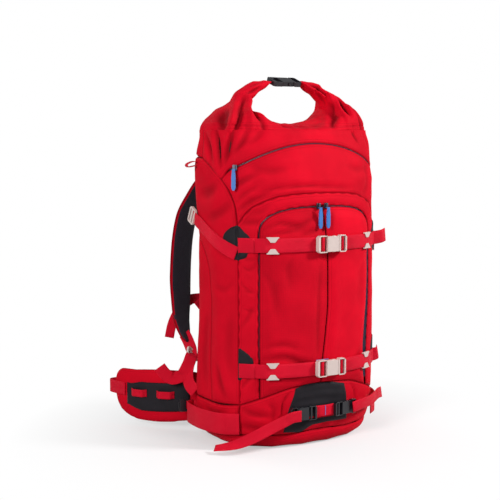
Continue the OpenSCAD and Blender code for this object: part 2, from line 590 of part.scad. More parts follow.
// The webbing leaves its buckle at x0 and spreads outwards with the bag's width.
module carry_web(side, points) {
    x0 = points[0][0];
    x1 = points[len(points) - 1][0];
    wider = (x1 * pack_width / 330 - x0) / (x1 - x0);
    path = [for (p = points) [x0 + (p[0] - x0) * wider, p[1], p[2]]];
    color("#c8102e") loft([for (i = [0:len(path) - 1]) let (p = path[i], t = unit(ends(path, i)), u = unit(cross(t, [0.3 * side, -1, 0])),
        n = cross(t, u)) [p + u * 10, p - u * 10, p - u * 10 + n * web_thick, p + u * 10 + n * web_thick]]);
}
module carry_web_left() {
    carry_web(-1, [[-66, -127, 64], [-84, -122, 57], [-110, -112, 44], [-140, -96, 28], [-166, -78, 18], [-188, -58, 14]]);
}
module carry_web_right() {
    carry_web(1, [[68, -127, 67], [90, -119, 68], [118, -104, 68], [150, -80, 70], [176, -58, 66]]);
}

main_bag();
boot();
collar();
roll_arm_left();
roll_arm_right();
roll_female();
roll_male();
front_pocket();
top_pocket();
pocket_zip();
top_zip();
pocket_slider_left();
pocket_slider_right();
top_slider();
pocket_puller_left();
pocket_puller_right();
top_puller();
frame_sheet();
aluminium_stay();
back_pads();
shoulder_strap_left();
shoulder_strap_right();
lower_webbing();
ladder_locks();
load_lifters();
sternum_web_left();
sternum_female();
sternum_male();
sternum_web_right();
hip_wing_left();
hip_wing_right();
hip_panel_left();
hip_panel_right();
hip_web_left();
hip_web_right();
hip_female();
hip_male();
haul_loop();
hang_loops();
ski_loops();
ski_hooks();
upper_web_left();
upper_female();
upper_male();
upper_web_right();
lower_web_left();
lower_female();
lower_male();
lower_web_right();
strap_keepers();
corner_patches();
side_straps();
rubber_patch();
carry_bridge();
carry_females();
carry_male_left();
carry_male_right();
carry_web_left();
carry_web_right();
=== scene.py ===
"""The looks of a ski touring backpack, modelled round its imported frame.

Soft pieces are laid out in millimetres, on a skin that is unrolled round the bag, and become
objects in metres. Distances round the bag start at the middle of its front and grow towards +X.
"""
import math
from functools import partial

import bmesh
import bpy
import numpy as np
from bpy.props import FloatProperty, FloatVectorProperty, PointerProperty
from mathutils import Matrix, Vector


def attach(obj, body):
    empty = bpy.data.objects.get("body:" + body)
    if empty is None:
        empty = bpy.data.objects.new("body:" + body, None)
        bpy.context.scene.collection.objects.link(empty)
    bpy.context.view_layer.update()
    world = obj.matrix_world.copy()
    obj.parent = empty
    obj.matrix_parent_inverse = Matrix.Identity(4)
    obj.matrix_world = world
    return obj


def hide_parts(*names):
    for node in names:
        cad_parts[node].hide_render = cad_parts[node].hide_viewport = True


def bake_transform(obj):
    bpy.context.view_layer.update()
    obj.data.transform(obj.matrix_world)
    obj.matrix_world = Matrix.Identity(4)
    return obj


bl_info = {
    "name": "Ski Touring Backpack",
    "version": (1, 0, 0),
    "blender": (4, 5, 0),
    "location": "View3D > Sidebar > Backpack",
    "description": "Fabric, webbing, padding and finishes of a roll-top ski touring backpack",
    "category": "Object",
}

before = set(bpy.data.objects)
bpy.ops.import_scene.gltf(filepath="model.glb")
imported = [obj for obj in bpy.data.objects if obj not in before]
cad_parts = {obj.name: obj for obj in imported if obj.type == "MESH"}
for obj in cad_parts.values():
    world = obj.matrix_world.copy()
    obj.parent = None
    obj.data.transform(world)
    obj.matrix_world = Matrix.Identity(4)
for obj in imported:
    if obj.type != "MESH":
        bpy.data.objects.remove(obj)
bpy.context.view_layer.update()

MM = 0.001
ROUND = 430.0
THICK = 1.4


class BackpackSizes(bpy.types.PropertyGroup):
    """The sizes that the soft pieces are laid out from."""

    pack_width: FloatProperty(
        name="Pack width", description="Widest width of the packed bag", default=0.330, unit="LENGTH")
    body_height: FloatProperty(
        name="Body height", description="Height of the bag up to its collar's dip", default=0.575,
        unit="LENGTH")
    front_depth: FloatProperty(
        name="Front depth", description="From the middle plane to the front", default=0.116, unit="LENGTH")
    back_depth: FloatProperty(
        name="Back depth", description="From the middle plane to the back", default=0.066, unit="LENGTH")
    web_width: FloatProperty(
        name="Webbing width", description="Width of the compression webbing", default=0.025, unit="LENGTH")
    seam_depth: FloatProperty(
        name="Seam depth", description="How far a panel's edge dips into its seam", default=0.0026,
        unit="LENGTH")


class BackpackColours(bpy.types.PropertyGroup):
    """The colours of the fabric and the fittings."""

    red: FloatVectorProperty(
        name="Main fabric", description="Nylon of the bag", default=(0.68, 0.0022, 0.0170), subtype="COLOR")
    web: FloatVectorProperty(
        name="Webbing", description="Woven straps", default=(0.76, 0.0018, 0.025), subtype="COLOR")
    dark: FloatVectorProperty(
        name="Trim", description="Coated patches and facings", default=(0.011, 0.0095, 0.012),
        subtype="COLOR")
    mesh: FloatVectorProperty(
        name="Spacer mesh", description="Mesh over the foam", default=(0.020, 0.016, 0.024), subtype="COLOR")
    pale: FloatVectorProperty(
        name="Pale plastic", description="Buckles, keepers and ladder locks", default=(0.66, 0.54, 0.50),
        subtype="COLOR")
    black: FloatVectorProperty(
        name="Black plastic", description="Roll and carry buckles", default=(0.008, 0.008, 0.012),
        subtype="COLOR")
    blue: FloatVectorProperty(
        name="Pullers", description="Moulded zip pullers and bar tacks", default=(0.035, 0.17, 0.52),
        subtype="COLOR")
    navy: FloatVectorProperty(
        name="Zips", description="Zip tape and pocket lining", default=(0.007, 0.008, 0.022),
        subtype="COLOR")


SIDES = ((-1, "left"), (1, "right"))
WHITE = (1, 1, 1, 1)


def sizes():
    """The sizes in use."""
    return bpy.context.scene.backpack_sizes


def colours():
    """The colours in use."""
    return bpy.context.scene.backpack_colours


# Curves and the skin


def smooth_curve(points):
    """A curve through points of (place, value) that doesn't overshoot between them."""
    x, y = np.array(points, float).T
    chord = np.diff(y) / np.diff(x)
    slope = np.concatenate([chord[:1], np.zeros(len(x) - 2), chord[-1:]])
    rising = chord[:-1] * chord[1:] > 0
    both = np.where(rising, chord[:-1] + chord[1:], 1)
    slope[1:-1] = np.where(rising, 2 * chord[:-1] * chord[1:] / both, 0)

    def value(at):
        at = np.clip(at, x[0], x[-1])
        i = np.clip(np.searchsorted(x, at) - 1, 0, len(x) - 2)
        h = x[i + 1] - x[i]
        t = (at - x[i]) / h
        return ((2 * t**3 - 3 * t**2 + 1) * y[i] + (t**3 - 2 * t**2 + t) * h * slope[i]
                + (3 * t**2 - 2 * t**3) * y[i + 1] + (t**3 - t**2) * h * slope[i + 1])

    return value


def run_along(points):
    """The length along a line, up to each of its points."""
    return np.concatenate([[0], np.cumsum(np.linalg.norm(np.diff(points, axis=0), axis=1))])


def full_turn(count):
    """Angles once round, without the first again."""
    return np.linspace(0, 2 * math.pi, count + 1)[:-1]


def boxy(wave, power):
    """A wave from -1 to 1 with its corners filled out: the lower the power, the squarer."""
    return np.sign(wave) * np.abs(wave) ** power


def smooth_line(points, at):
    """Points along a smooth line: at is how many, or their shares of its length."""
    p = np.array(points, float)
    run = np.concatenate([[0], np.cumsum(np.maximum(np.linalg.norm(np.diff(p, axis=0), axis=1), 1e-6))])
    share = np.linspace(0, 1, at) if np.isscalar(at) else np.asarray(at)
    return np.stack([smooth_curve(np.stack([run, c], 1))(share * run[-1]) for c in p.T], 1)


def unit(v):
    """Directions of length 1."""
    return v / np.maximum(np.linalg.norm(v, axis=-1, keepdims=True), 1e-9)


def ease(t):
    """0 up to 0, 1 from 1 on, and smooth between."""
    t = np.clip(t, 0, 1)
    return t * t * (3 - 2 * t)


def on_side(side, line):
    """A line of (round, height) of the left half, on a side: -1 is the left and 1 the right."""
    return [(-side * a, z) for a, z in line]


def mirrored(line):
    """A line of the left half that ends in the middle, carried on to the right."""
    return list(line) + on_side(1, line[:-1][::-1])


class Skin:
    """The bag's outer surface: a point from its distance round the bag and its height."""

    ROW = 5.0
    COLUMNS = 431
    WIDTH = [(0, 0.82), (0.026, 0.91), (0.07, 0.97), (0.13, 1), (0.435, 0.99), (0.63, 0.985),
             (0.87, 1), (0.974, 0.975), (1.2, 0.95)]
    FRONT = [(0, 0.76), (0.026, 0.86), (0.07, 0.93), (0.13, 0.97), (0.235, 1), (0.435, 1.017), (0.63, 1),
             (0.75, 0.95), (0.87, 0.845), (0.94, 0.74), (0.974, 0.63), (1.2, 0.5)]
    BACK = [(0, 0.94), (0.026, 1.07), (0.07, 1.13), (0.13, 1.13), (0.235, 1.05), (0.435, 0.92),
            (0.63, 0.97), (0.75, 1.07), (0.87, 1.16), (0.974, 1.05), (1.2, 1)]
    FRONT_ROUND = 2.3
    BACK_ROUND = 7.0

    def __init__(self, size):
        self.height = size.body_height / MM
        half, front, back = size.pack_width / MM / 2, size.front_depth / MM, size.back_depth / MM
        width, fore, rear = smooth_curve(self.WIDTH), smooth_curve(self.FRONT), smooth_curve(self.BACK)
        self.half = lambda z: half * width(np.asarray(z) / self.height)
        self.fore = lambda z: front * fore(np.asarray(z) / self.height)
        self.rear = lambda z: back * rear(np.asarray(z) / self.height)
        turn = np.linspace(0, math.pi / 2, 400)
        share = np.linspace(0, 1, self.COLUMNS)
        rows = []
        for z in np.arange(0, 1.2 * self.height, self.ROW):
            w, f, b = self.half(z), self.fore(z), self.rear(z)
            x = np.concatenate([w * np.sin(turn) ** (2 / self.FRONT_ROUND),
                                (w * np.cos(turn) ** (2 / self.BACK_ROUND))[1:]])
            y = np.concatenate([-f * np.cos(turn) ** (2 / self.FRONT_ROUND),
                                (b * np.sin(turn) ** (2 / self.BACK_ROUND))[1:]])
            run = np.concatenate([[0], np.cumsum(np.hypot(np.diff(x), np.diff(y)))])
            rows.append(np.stack([np.interp(share, run / run[-1], x), np.interp(share, run / run[-1], y)],
                                 1))
        self.grid = np.array(rows)

    def bare(self, a, z):
        """The place on the surface."""
        a, z = np.broadcast_arrays(np.asarray(a, float), np.asarray(z, float))
        a = (a + ROUND) % (2 * ROUND) - ROUND
        q = np.abs(a) / ROUND * (self.COLUMNS - 1)
        i = np.clip(q.astype(int), 0, self.COLUMNS - 2)
        r = np.clip(z / self.ROW, 0, len(self.grid) - 1.001)
        j = r.astype(int)
        q, r = (q - i)[..., None], (r - j)[..., None]
        g = self.grid
        p = ((1 - r) * ((1 - q) * g[j, i] + q * g[j, i + 1])
             + r * ((1 - q) * g[j + 1, i] + q * g[j + 1, i + 1]))
        return np.stack([p[..., 0] * np.where(a < 0, -1, 1), p[..., 1], z], -1)

    def out(self, a, z):
        """The direction out of the bag."""
        a, z = np.asarray(a, float), np.asarray(z, float)
        along = self.bare(a + 2, z) - self.bare(a - 2, z)
        up = self.bare(a, z + 5) - self.bare(a, np.maximum(z - 5, 0))
        return unit(np.cross(along, up))

    def at(self, a, z, off=0.0):
        """A place that stands off the surface."""
        return self.bare(a, z) + self.out(a, z) * np.asarray(off)[..., None]

    def front_y(self, x, z, off=0.0):
        """How far forward the surface stands at x."""
        r = np.minimum(1, np.abs(x) / (self.half(z) + off))
        return -(self.fore(z) + off) * np.maximum(0, 1 - r**self.FRONT_ROUND) ** (1 / self.FRONT_ROUND)

    def reach(self, x, z, off, tall):
        """The furthest forward that the skin stands under a strap that is tall high at height z."""
        return np.min([self.front_y(x, z + d, off) for d in (-tall / 2, 0, tall / 2)], axis=0)

    def from_x(self, x, z):
        """The distance round the bag of a place on the front."""
        row = self.grid[int(round(float(z) / self.ROW))][:, 0]
        k = int(row.argmax()) + 1
        return math.copysign(float(np.interp(abs(x), row[:k], np.linspace(0, 1, self.COLUMNS)[:k])) * ROUND,
                             x)

    def from_y(self, side, y, z):
        """The distance round the bag of a place on a side."""
        row = self.grid[int(round(float(z) / self.ROW))]
        k = row[:, 0] > 0.4 * self.half(z)
        return side * float(np.interp(y, row[k, 1], np.linspace(0, 1, self.COLUMNS)[k])) * ROUND


made = {}


def skin():
    """The skin for the sizes in use, made once."""
    size = sizes()
    key = (size.pack_width, size.body_height, size.front_depth, size.back_depth)
    if made.get("key") != key:
        made.update(key=key, skin=Skin(size))
    return made["skin"]


# Meshes


def note_places(piece, name, values):
    """Stores one number for each point, adding to what is there."""
    layer = piece.data.attributes.get(name)
    total = np.asarray(values, np.float32).copy()
    if layer is None:
        layer = piece.data.attributes.new(name, "FLOAT", "POINT")
    else:
        before = np.empty(len(total), np.float32)
        layer.data.foreach_get("value", before)
        total += before
    layer.data.foreach_set("value", total)


def new_piece(name, points, faces, uv=None, seam=None):
    """An object in metres from points in millimetres. uv is a place on the cloth in millimetres."""
    mesh = bpy.data.meshes.new(name)
    mesh.from_pydata((np.asarray(points) * MM).tolist(), [], [tuple(int(i) for i in f) for f in faces])
    piece = bpy.data.objects.new(name, mesh)
    bpy.context.scene.collection.objects.link(piece)
    if uv is not None:
        corners = np.empty(len(mesh.loops), int)
        mesh.loops.foreach_get("vertex_index", corners)
        layer = mesh.uv_layers.new(name="Cloth")
        layer.data.foreach_set("uv", (np.asarray(uv)[corners] * MM).astype(np.float32).ravel())
    if seam is not None:
        layer = mesh.attributes.new("seam", "FLOAT", "POINT")
        layer.data.foreach_set("value", np.asarray(seam, np.float32))
    mesh.polygons.foreach_set("use_smooth", [True] * len(mesh.polygons))
    return piece


def pick(*pieces):
    """Selects these pieces alone, and makes the first one active."""
    bpy.ops.object.select_all(action="DESELECT")
    for piece in pieces:
        piece.select_set(True)
    bpy.context.view_layer.objects.active = pieces[0]


def apply(piece, kind, **settings):
    """Adds a modifier to a piece and applies it."""
    modifier = piece.modifiers.new(kind.title(), kind)
    for key, value in settings.items():
        setattr(modifier, key, value)
    pick(piece)
    bpy.ops.object.modifier_apply(modifier=modifier.name)
    return piece


def outward(piece):
    """Merges doubles and turns a closed mesh's faces out."""
    shape = bmesh.new()
    shape.from_mesh(piece.data)
    bmesh.ops.remove_doubles(shape, verts=shape.verts, dist=1e-6)
    bmesh.ops.recalc_face_normals(shape, faces=shape.faces)
    shape.to_mesh(piece.data)
    shape.free()
    return piece


def joined(name, pieces):
    """One piece from several, under a name of its own."""
    pick(*pieces)
    if len(pieces) > 1:
        bpy.ops.object.join()
    piece = pieces[0]
    piece.name = piece.data.name = name
    return piece


def places(piece):
    """The places of a piece's points, in millimetres."""
    co = np.empty(len(piece.data.vertices) * 3)
    piece.data.vertices.foreach_get("co", co)
    return co.reshape(-1, 3) / MM


def move_points(piece, points):
    """Puts a piece's points at places in millimetres."""
    piece.data.vertices.foreach_set("co", (points * MM).ravel())
    piece.data.update()


def normals(piece):
    """The directions out of a piece at its points."""
    n = np.empty(len(piece.data.vertices) * 3)
    piece.data.vertices.foreach_get("normal", n)
    return n.reshape(-1, 3)


def fold_depth(p, folds):
    """How deep the folds are at each place: a fold is (line, width, depth), and a minus depth is a ridge."""
    total = np.zeros(len(p))
    for line, width, depth in folds:
        q = smooth_line(line, 50)
        d2 = ((p[:, None, :] - q[None]) ** 2).sum(2)
        t = d2.argmin(1) / 49
        near = d2.min(1) / width**2
        fade = np.sin(math.pi * np.clip(0.06 + 0.88 * t, 0, 1)) ** 0.7
        total += 3.0 * depth * fade * (np.exp(-near) - 0.38 * np.exp(-near / 3.2))
    return total


def ripple(p, seed, low=24.0, high=95.0, waves=9):
    """A soft unevenness from -1 to 1, as in hanging cloth."""
    chance = np.random.RandomState(seed)
    total = np.zeros(len(p))
    for _ in range(waves):
        way = unit(chance.normal(size=p.shape[1]))
        total += np.sin(p @ way * 2 * math.pi / chance.uniform(low, high) + chance.uniform(0, 6.3))
    return total / waves * 1.6


def spaced(length, step):
    """Shares of a length, closer together at both ends, where a panel turns into its seams."""
    near = np.array([0, 0.9, 2.0, 3.4, 5.4, 8.4])
    near = near[near < 0.42 * length]
    count = max(2, int(round((length - 2 * near[-1]) / step)))
    middle = np.linspace(near[-1], length - near[-1], count + 1)[1:-1]
    return np.concatenate([near, middle, length - near[::-1]]) / length


def line_length(line):
    """The length of a smooth line."""
    return float(np.linalg.norm(np.diff(smooth_line(line, 60), axis=0), axis=1).sum())


def middle_gap(one, other):
    """The distance between the middles of two lines."""
    return float(np.linalg.norm(smooth_line(one, [0, 0.5, 1])[1] - smooth_line(other, [0, 0.5, 1])[1]))


def grid_faces(n, m):
    """Four-sided faces over a grid of n by m points."""
    grid = np.arange(n * m).reshape(n, m)
    return np.stack([grid[:-1, :-1], grid[1:, :-1], grid[1:, 1:], grid[:-1, 1:]], -1).reshape(-1, 4)


def panel(name, left, right, bottom, top, lift=0.8, puff=1.2, spread=26.0, dips=(1, 1, 1, 1), folds=(),
          uneven=0.45, seed=1, step=4.6, cloth=1.2):
    """A panel of cloth between four lines of (round, height), whose edges dip into the seams."""
    u = spaced(max((line_length(bottom) + line_length(top)) / 2, middle_gap(left, right)), step)
    v = spaced(max((line_length(left) + line_length(right)) / 2, middle_gap(bottom, top)), step)
    b, t = smooth_line(bottom, u)[:, None], smooth_line(top, u)[:, None]
    near, far = smooth_line(left, v)[None], smooth_line(right, v)[None]
    s, w = u[:, None, None], v[None, :, None]
    corners = ((1 - s) * (1 - w) * b[0, 0] + s * (1 - w) * b[-1, 0] + (1 - s) * w * t[0, 0] + s * w * t[-1,
                                                                                                        0])
    flat = ((1 - w) * b + w * t + (1 - s) * near + s * far - corners).reshape(-1, 2)
    gaps = [np.sqrt(((flat[:, None] - smooth_line(line, 160)[None]) ** 2).sum(2)).min(1)
            for line in (left, right, bottom, top)]
    deep = sizes().seam_depth / MM
    dip = np.max([size * deep * (1 - ease(gap / 3.6)) for size, gap in zip(dips, gaps)], axis=0)
    seam = np.min([gap if size > 0 else gap + 50 for size, gap in zip(dips, gaps)], axis=0)
    inside = ease(seam / spread)
    folded = fold_depth(flat, folds) * ease(seam / 6)
    off = lift + puff * inside - dip - folded + uneven * ripple(flat, seed) * ease(seam / 12)
    faces = grid_faces(len(u), len(v))
    edge = flat[faces]
    turned = np.cross(edge[:, 1] - edge[:, 0], edge[:, 3] - edge[:, 0]).sum() < 0
    piece = new_piece(name, skin().at(flat[:, 0], flat[:, 1], off), faces[:, ::-1] if turned else faces,
                      flat, seam)
    # The fold depth is kept as well for the nylon's painted shade in the folds.
    note_places(piece, "fold", folded)
    return apply(piece, "SOLIDIFY", thickness=cloth * MM, offset=-1.0)


def lofted(name, rings, uv=None, seam=None):
    """A closed tube through rings of points, with an end face at each end."""
    rings = np.asarray(rings, float)
    m, n = rings.shape[:2]
    grid = np.arange(m * n).reshape(m, n)
    wrapped = np.roll(grid, -1, axis=1)
    faces = np.stack([grid[:-1], wrapped[:-1], wrapped[1:], grid[1:]], -1).reshape(-1, 4).tolist()
    faces += [grid[0][::-1].tolist(), grid[-1].tolist()]
    piece = new_piece(name, rings.reshape(-1, 3), faces, None if uv is None else np.reshape(uv, (-1, 2)),
                      seam)
    return outward(piece)


WEB_EDGE = [(-1, 0.0), (-0.985, 0.6), (-0.94, 1.0), (-0.5, 1.0), (0, 1.0), (0.5, 1.0), (0.94, 1.0),
            (0.985, 0.6),
            (1, 0.0), (0.985, -0.6), (0.94, -1.0), (0.5, -1.0), (0, -1.0), (-0.5, -1.0), (-0.94, -1.0),
            (-0.985, -0.6)]


def webbing(name, line, facing, width, thick=THICK, step=4.0):
    """A woven strap along a line. facing is the direction of its face, one or one for each point."""
    facing = np.broadcast_to(np.asarray(facing, float), np.shape(line))
    count = max(4, int(line_length(line) / step))
    p = smooth_line(line, count)
    run = run_along(p)
    given = run_along(np.array(line, float))
    given = given / given[-1]
    n = unit(np.stack([np.interp(run / run[-1], given, c) for c in facing.T], 1))
    t = unit(np.gradient(p, axis=0))
    across = unit(np.cross(t, n))
    n = np.cross(across, t)
    rings = [p + across * width / 2 * q[0] + n * thick / 2 * q[1] for q in WEB_EDGE]
    uv = [np.stack([run, np.full(count, width / 2 * q[0])], 1) for q in WEB_EDGE]
    return lofted(name, np.stack(rings, 1), np.stack(uv, 1))


def on_skin(line, off):
    """Points and facings along a line of (round, height) on the skin."""
    flat = np.array(line, float)
    return skin().at(flat[:, 0], flat[:, 1], off), skin().out(flat[:, 0], flat[:, 1])


def remeshed(piece, voxel):
    """Turns a closed form into an even mesh with faces of one size."""
    piece.data.remesh_voxel_size = voxel * MM
    pick(piece)
    bpy.ops.object.voxel_remesh()
    return piece


def relax(piece, times, factor=0.5):
    """Smooths a piece."""
    return apply(piece, "SMOOTH", iterations=times, factor=factor)


def rounded(piece):
    """Divides a piece's faces once, on smooth curves."""
    return apply(piece, "SUBSURF", levels=1, render_levels=1)


def puffed(piece, voxel=4.0, pressure=2.5, cap=2.0, frames=12):
    """Remeshes a closed form, blows it up as cloth, and keeps each point within cap of its place."""
    remeshed(piece, voxel)
    start = places(piece)
    cloth = piece.modifiers.new("Cloth", "CLOTH")
    cloth.settings.quality = 4
    cloth.settings.use_pressure = True
    cloth.settings.uniform_pressure_force = pressure
    cloth.settings.effector_weights.gravity = 0
    scene = bpy.context.scene
    for number in range(1, frames + 1):
        scene.frame_set(number)
    view = piece.evaluated_get(bpy.context.evaluated_depsgraph_get())
    co = np.empty(len(start) * 3)
    view.data.vertices.foreach_get("co", co)
    scene.frame_set(1)
    piece.modifiers.remove(cloth)
    move = co.reshape(-1, 3) / MM - start
    far = np.linalg.norm(move, axis=1, keepdims=True)
    move_points(piece, start + move * np.minimum(1, cap / np.maximum(far, 1e-9)))
    return piece


def cloth_places(piece, flat=None, seam=None):
    """Gives a remeshed piece its cloth places and its distance to the nearest seam, in millimetres."""
    p = places(piece) if flat is None else flat
    uv = p if p.shape[1] == 2 else np.stack([p[:, 0] + 0.6 * p[:, 1], p[:, 2] + 0.3 * p[:, 1]], 1)
    mesh = piece.data
    corners = np.empty(len(mesh.loops), int)
    mesh.loops.foreach_get("vertex_index", corners)
    layer = mesh.uv_layers.get("Cloth") or mesh.uv_layers.new(name="Cloth")
    layer.data.foreach_set("uv", (uv[corners] * MM).astype(np.float32).ravel())
    layer = mesh.attributes.get("seam") or mesh.attributes.new("seam", "FLOAT", "POINT")
    layer.data.foreach_set("value", np.full(len(p), 40,
                                            np.float32) if seam is None else seam.astype(np.float32))
    mesh.polygons.foreach_set("use_smooth", [True] * len(mesh.polygons))


def cube_block(name, low, high, soften=0.4):
    """A softened block between two corners, in millimetres."""
    low, high = np.array(low, float), np.array(high, float)
    bpy.ops.object.select_all(action="DESELECT")
    bpy.ops.mesh.primitive_cube_add(size=1)
    piece = bpy.context.object
    piece.name = piece.data.name = name
    move_points(piece, (low + high) / 2 + places(piece) * MM * (high - low))
    return apply(piece, "BEVEL", width=soften * MM, segments=2)


# Materials


class Value:
    """A shader value: Python's operators on it add Math nodes."""

    def __init__(self, recipe, socket):
        self.recipe = recipe
        self.socket = socket

    def _with(self, operation, *others):
        return self.recipe.node("ShaderNodeMath", {"operation": operation}, *others)

    def __add__(self, other):
        return self._with("ADD", self, other)

    def __radd__(self, other):
        return self._with("ADD", other, self)

    def __sub__(self, other):
        return self._with("SUBTRACT", self, other)

    def __rsub__(self, other):
        return self._with("SUBTRACT", other, self)

    def __mul__(self, other):
        return self._with("MULTIPLY", self, other)

    def __rmul__(self, other):
        return self._with("MULTIPLY", other, self)

    def __truediv__(self, other):
        return self._with("DIVIDE", self, other)

    def __rtruediv__(self, other):
        return self._with("DIVIDE", other, self)

    def __gt__(self, other):
        return self._with("GREATER_THAN", self, other)

    def __lt__(self, other):
        return self._with("LESS_THAN", self, other)

    def sine(self):
        """A wave of the value."""
        return self._with("SINE", self)

    def size(self):
        """The value without its sign."""
        return self._with("ABSOLUTE", self)

    def part(self, whole):
        """The value folded to and fro between 0 and whole."""
        return self._with("PINGPONG", self, whole)

    def other(self, index):
        """Another output of the same node."""
        return Value(self.recipe, self.socket.node.outputs[index])


class Recipe:
    """The nodes of a material or a world under construction."""

    def __init__(self, holder):
        holder.use_nodes = True
        self.holder = holder
        self.tree = holder.node_tree
        self.shader = self.tree.nodes.get("Principled BSDF")

    def node(self, kind, settings=None, *values, out=0, places=None, **named):
        """Adds a node: its settings come first, then the values or links of its sockets."""
        made_node = self.tree.nodes.new(kind)
        for key, value in (settings or {}).items():
            setattr(made_node, key, value)
        for key, value in [*enumerate(values), *(places or {}).items(), *named.items()]:
            self.put(made_node.inputs[key.replace("_", " ") if isinstance(key, str) else key], value)
        return Value(self, made_node.outputs[out]) if made_node.outputs else None

    def put(self, socket, value):
        """Links a value to a socket, or sets a plain number or colour on it."""
        if isinstance(value, Value):
            self.tree.links.new(value.socket, socket)
        else:
            socket.default_value = value

    def set(self, **named):
        """Sets or links the main shader's sockets, and gives the material."""
        for key, value in named.items():
            self.put(self.shader.inputs[key.replace("_", " ")], value)
        return self.holder

    def mix(self, share, first, second):
        """A colour between two colours."""
        return self.node("ShaderNodeMix", {"data_type": "RGBA"}, out=2,
                         places={0: share, 6: first, 7: second})

    def spread(self, value, low, high, first, last):
        """A value between low and high, spread between first and last, and held past them."""
        return self.node("ShaderNodeMapRange", None, value, low, high, first, last)

    def cloth(self):
        """The cloth's two directions in millimetres."""
        place = self.node("ShaderNodeUVMap", {"uv_map": "Cloth"})
        apart = self.node("ShaderNodeSeparateXYZ", None, place)
        return place, apart * 1000, apart.other(1) * 1000

    def spot(self):
        """The place on the object, in metres."""
        return self.node("ShaderNodeTexCoord", out=3)

    def noted(self, name):
        """A number that is noted at the points of the mesh."""
        return self.node("ShaderNodeAttribute", {"attribute_name": name}, out=2)

    def noise(self, place, scale, detail=3.0, rough=0.5):
        """A cloudy pattern from 0 to 1."""
        return self.node("ShaderNodeTexNoise", None, Vector=place, Scale=scale, Detail=detail,
                         Roughness=rough)

    def bump(self, height, strength, distance):
        """A direction that is turned by a height."""
        return self.node("ShaderNodeBump", None, Strength=strength, Distance=distance, Height=height)


def shade(colour, times):
    """A colour made lighter or darker."""
    return tuple(min(1.0, c * times) for c in colour) + (1.0,)


def material(name, build, *settings):
    """A material that is built once."""
    found = bpy.data.materials.get(name)
    if found is None:
        found = build(Recipe(bpy.data.materials.new(name)), *settings)
    return found


STITCH_GAP = 5.6


def nylon(recipe, colour, tone_and_painted_light, grid):
    """Coated nylon: plain weave, an optional ripstop grid, top stitching beside the seams, and painted shade
    in the seams and folds.
    """
    place, u, v = recipe.cloth()
    seam = recipe.noted("seam")
    weave = (u * 7.0).sine() * (v * 7.0).sine()
    cloudy = recipe.noise(place, 14.0, 4.0)
    fine = recipe.noise(place, 900.0, 2.0)
    mottle_and_shade = recipe.mix(recipe.spread(cloudy, 0.3, 0.7, 0.0, 1.0),
                         shade(colour, 0.84 * tone_and_painted_light), shade(colour, 1.08 * tone_and_painted_light))
    height = weave * 0.25 + fine * 0.7
    if grid:
        line = (u.part(1.5) > 1.28) + (v.part(1.5) > 1.28)
        mottle_and_shade = recipe.mix(line * 0.20, mottle_and_shade, shade(colour, 0.45 * tone_and_painted_light))
        height = height + line * 0.8
    # Darker within 3 mm of a seam: partly wear, partly painted shade in the seam's groove.
    seam_wear_and_shade = recipe.spread(seam, 0.4, 3.0, 0.75, 0.0)
    mottle_and_shade = recipe.mix(seam_wear_and_shade, mottle_and_shade, shade(colour, 0.30 * tone_and_painted_light))
    # Darker the deeper the fold: painted shade in the creases.
    deep = recipe.spread(recipe.noted("fold"), 0.5, 5.5, 0.0, 0.75)
    mottle_and_shade = recipe.mix(deep, mottle_and_shade, shade(colour, 0.28 * tone_and_painted_light))
    beside = (seam - STITCH_GAP).size()
    row = (beside < 0.42) * ((u * 0.8 + v * 1.25).part(1.5) > 0.5)
    mottle_and_shade = recipe.mix(row * 0.45, mottle_and_shade, shade(colour, 0.45 * tone_and_painted_light))
    height = height - (beside < 0.8) * 1.2 + row
    return recipe.set(Base_Color=mottle_and_shade, Roughness=fine * 0.14 + 0.62, Specular_IOR_Level=0.05,
                      Sheen_Weight=0.008, Sheen_Roughness=0.45, Normal=recipe.bump(height, 0.35, 0.0004))


def strapping(recipe, colour, tone_and_painted_light):
    """Woven webbing: ribs across its run and a flat selvedge on both edges."""
    place, u, v = recipe.cloth()
    rib = (u * 4.4 + (v * 2.2).sine() * 0.8).sine()
    thread = (v * 9.0).sine()
    fine = recipe.noise(place, 420.0, 3.0)
    cloudy = recipe.noise(place, 22.0)
    base = recipe.mix(cloudy, shade(colour, 0.82 * tone_and_painted_light), shade(colour, 1.12 * tone_and_painted_light))
    # Darker in the grooves between the ribs: painted shade.
    base = recipe.mix(recipe.spread(rib, -1.0, -0.2, 0.30, 0.0), base, shade(colour, 0.40 * tone_and_painted_light))
    height = rib * 0.7 + thread * 0.3 + fine * 0.4
    return recipe.set(Base_Color=base, Roughness=fine * 0.2 + 0.46, Specular_IOR_Level=0.12,
                      Sheen_Weight=0.02, Sheen_Roughness=0.4, Normal=recipe.bump(height, 0.5, 0.0005))


def spacer_mesh(recipe, colour, tone_and_painted_light):
    """Open spacer mesh: rows of small holes over foam."""
    place, u, v = recipe.cloth()
    across = (u * 1.9).sine()
    up = (v * 1.9 + (u * 0.95).sine() * 1.57).sine()
    hole = recipe.spread(across * up, 0.1, 0.7, 0.0, 1.0)
    fine = recipe.noise(place, 700.0, 2.0)
    base = recipe.mix(hole, shade(colour, 2.4 * tone_and_painted_light), shade(colour, 0.35 * tone_and_painted_light))
    return recipe.set(Base_Color=base, Roughness=fine * 0.2 + 0.62, Specular_IOR_Level=0.2,
                      Sheen_Weight=0.03, Sheen_Roughness=0.5,
                      Normal=recipe.bump(fine * 0.3 - hole, 0.7, 0.0008))


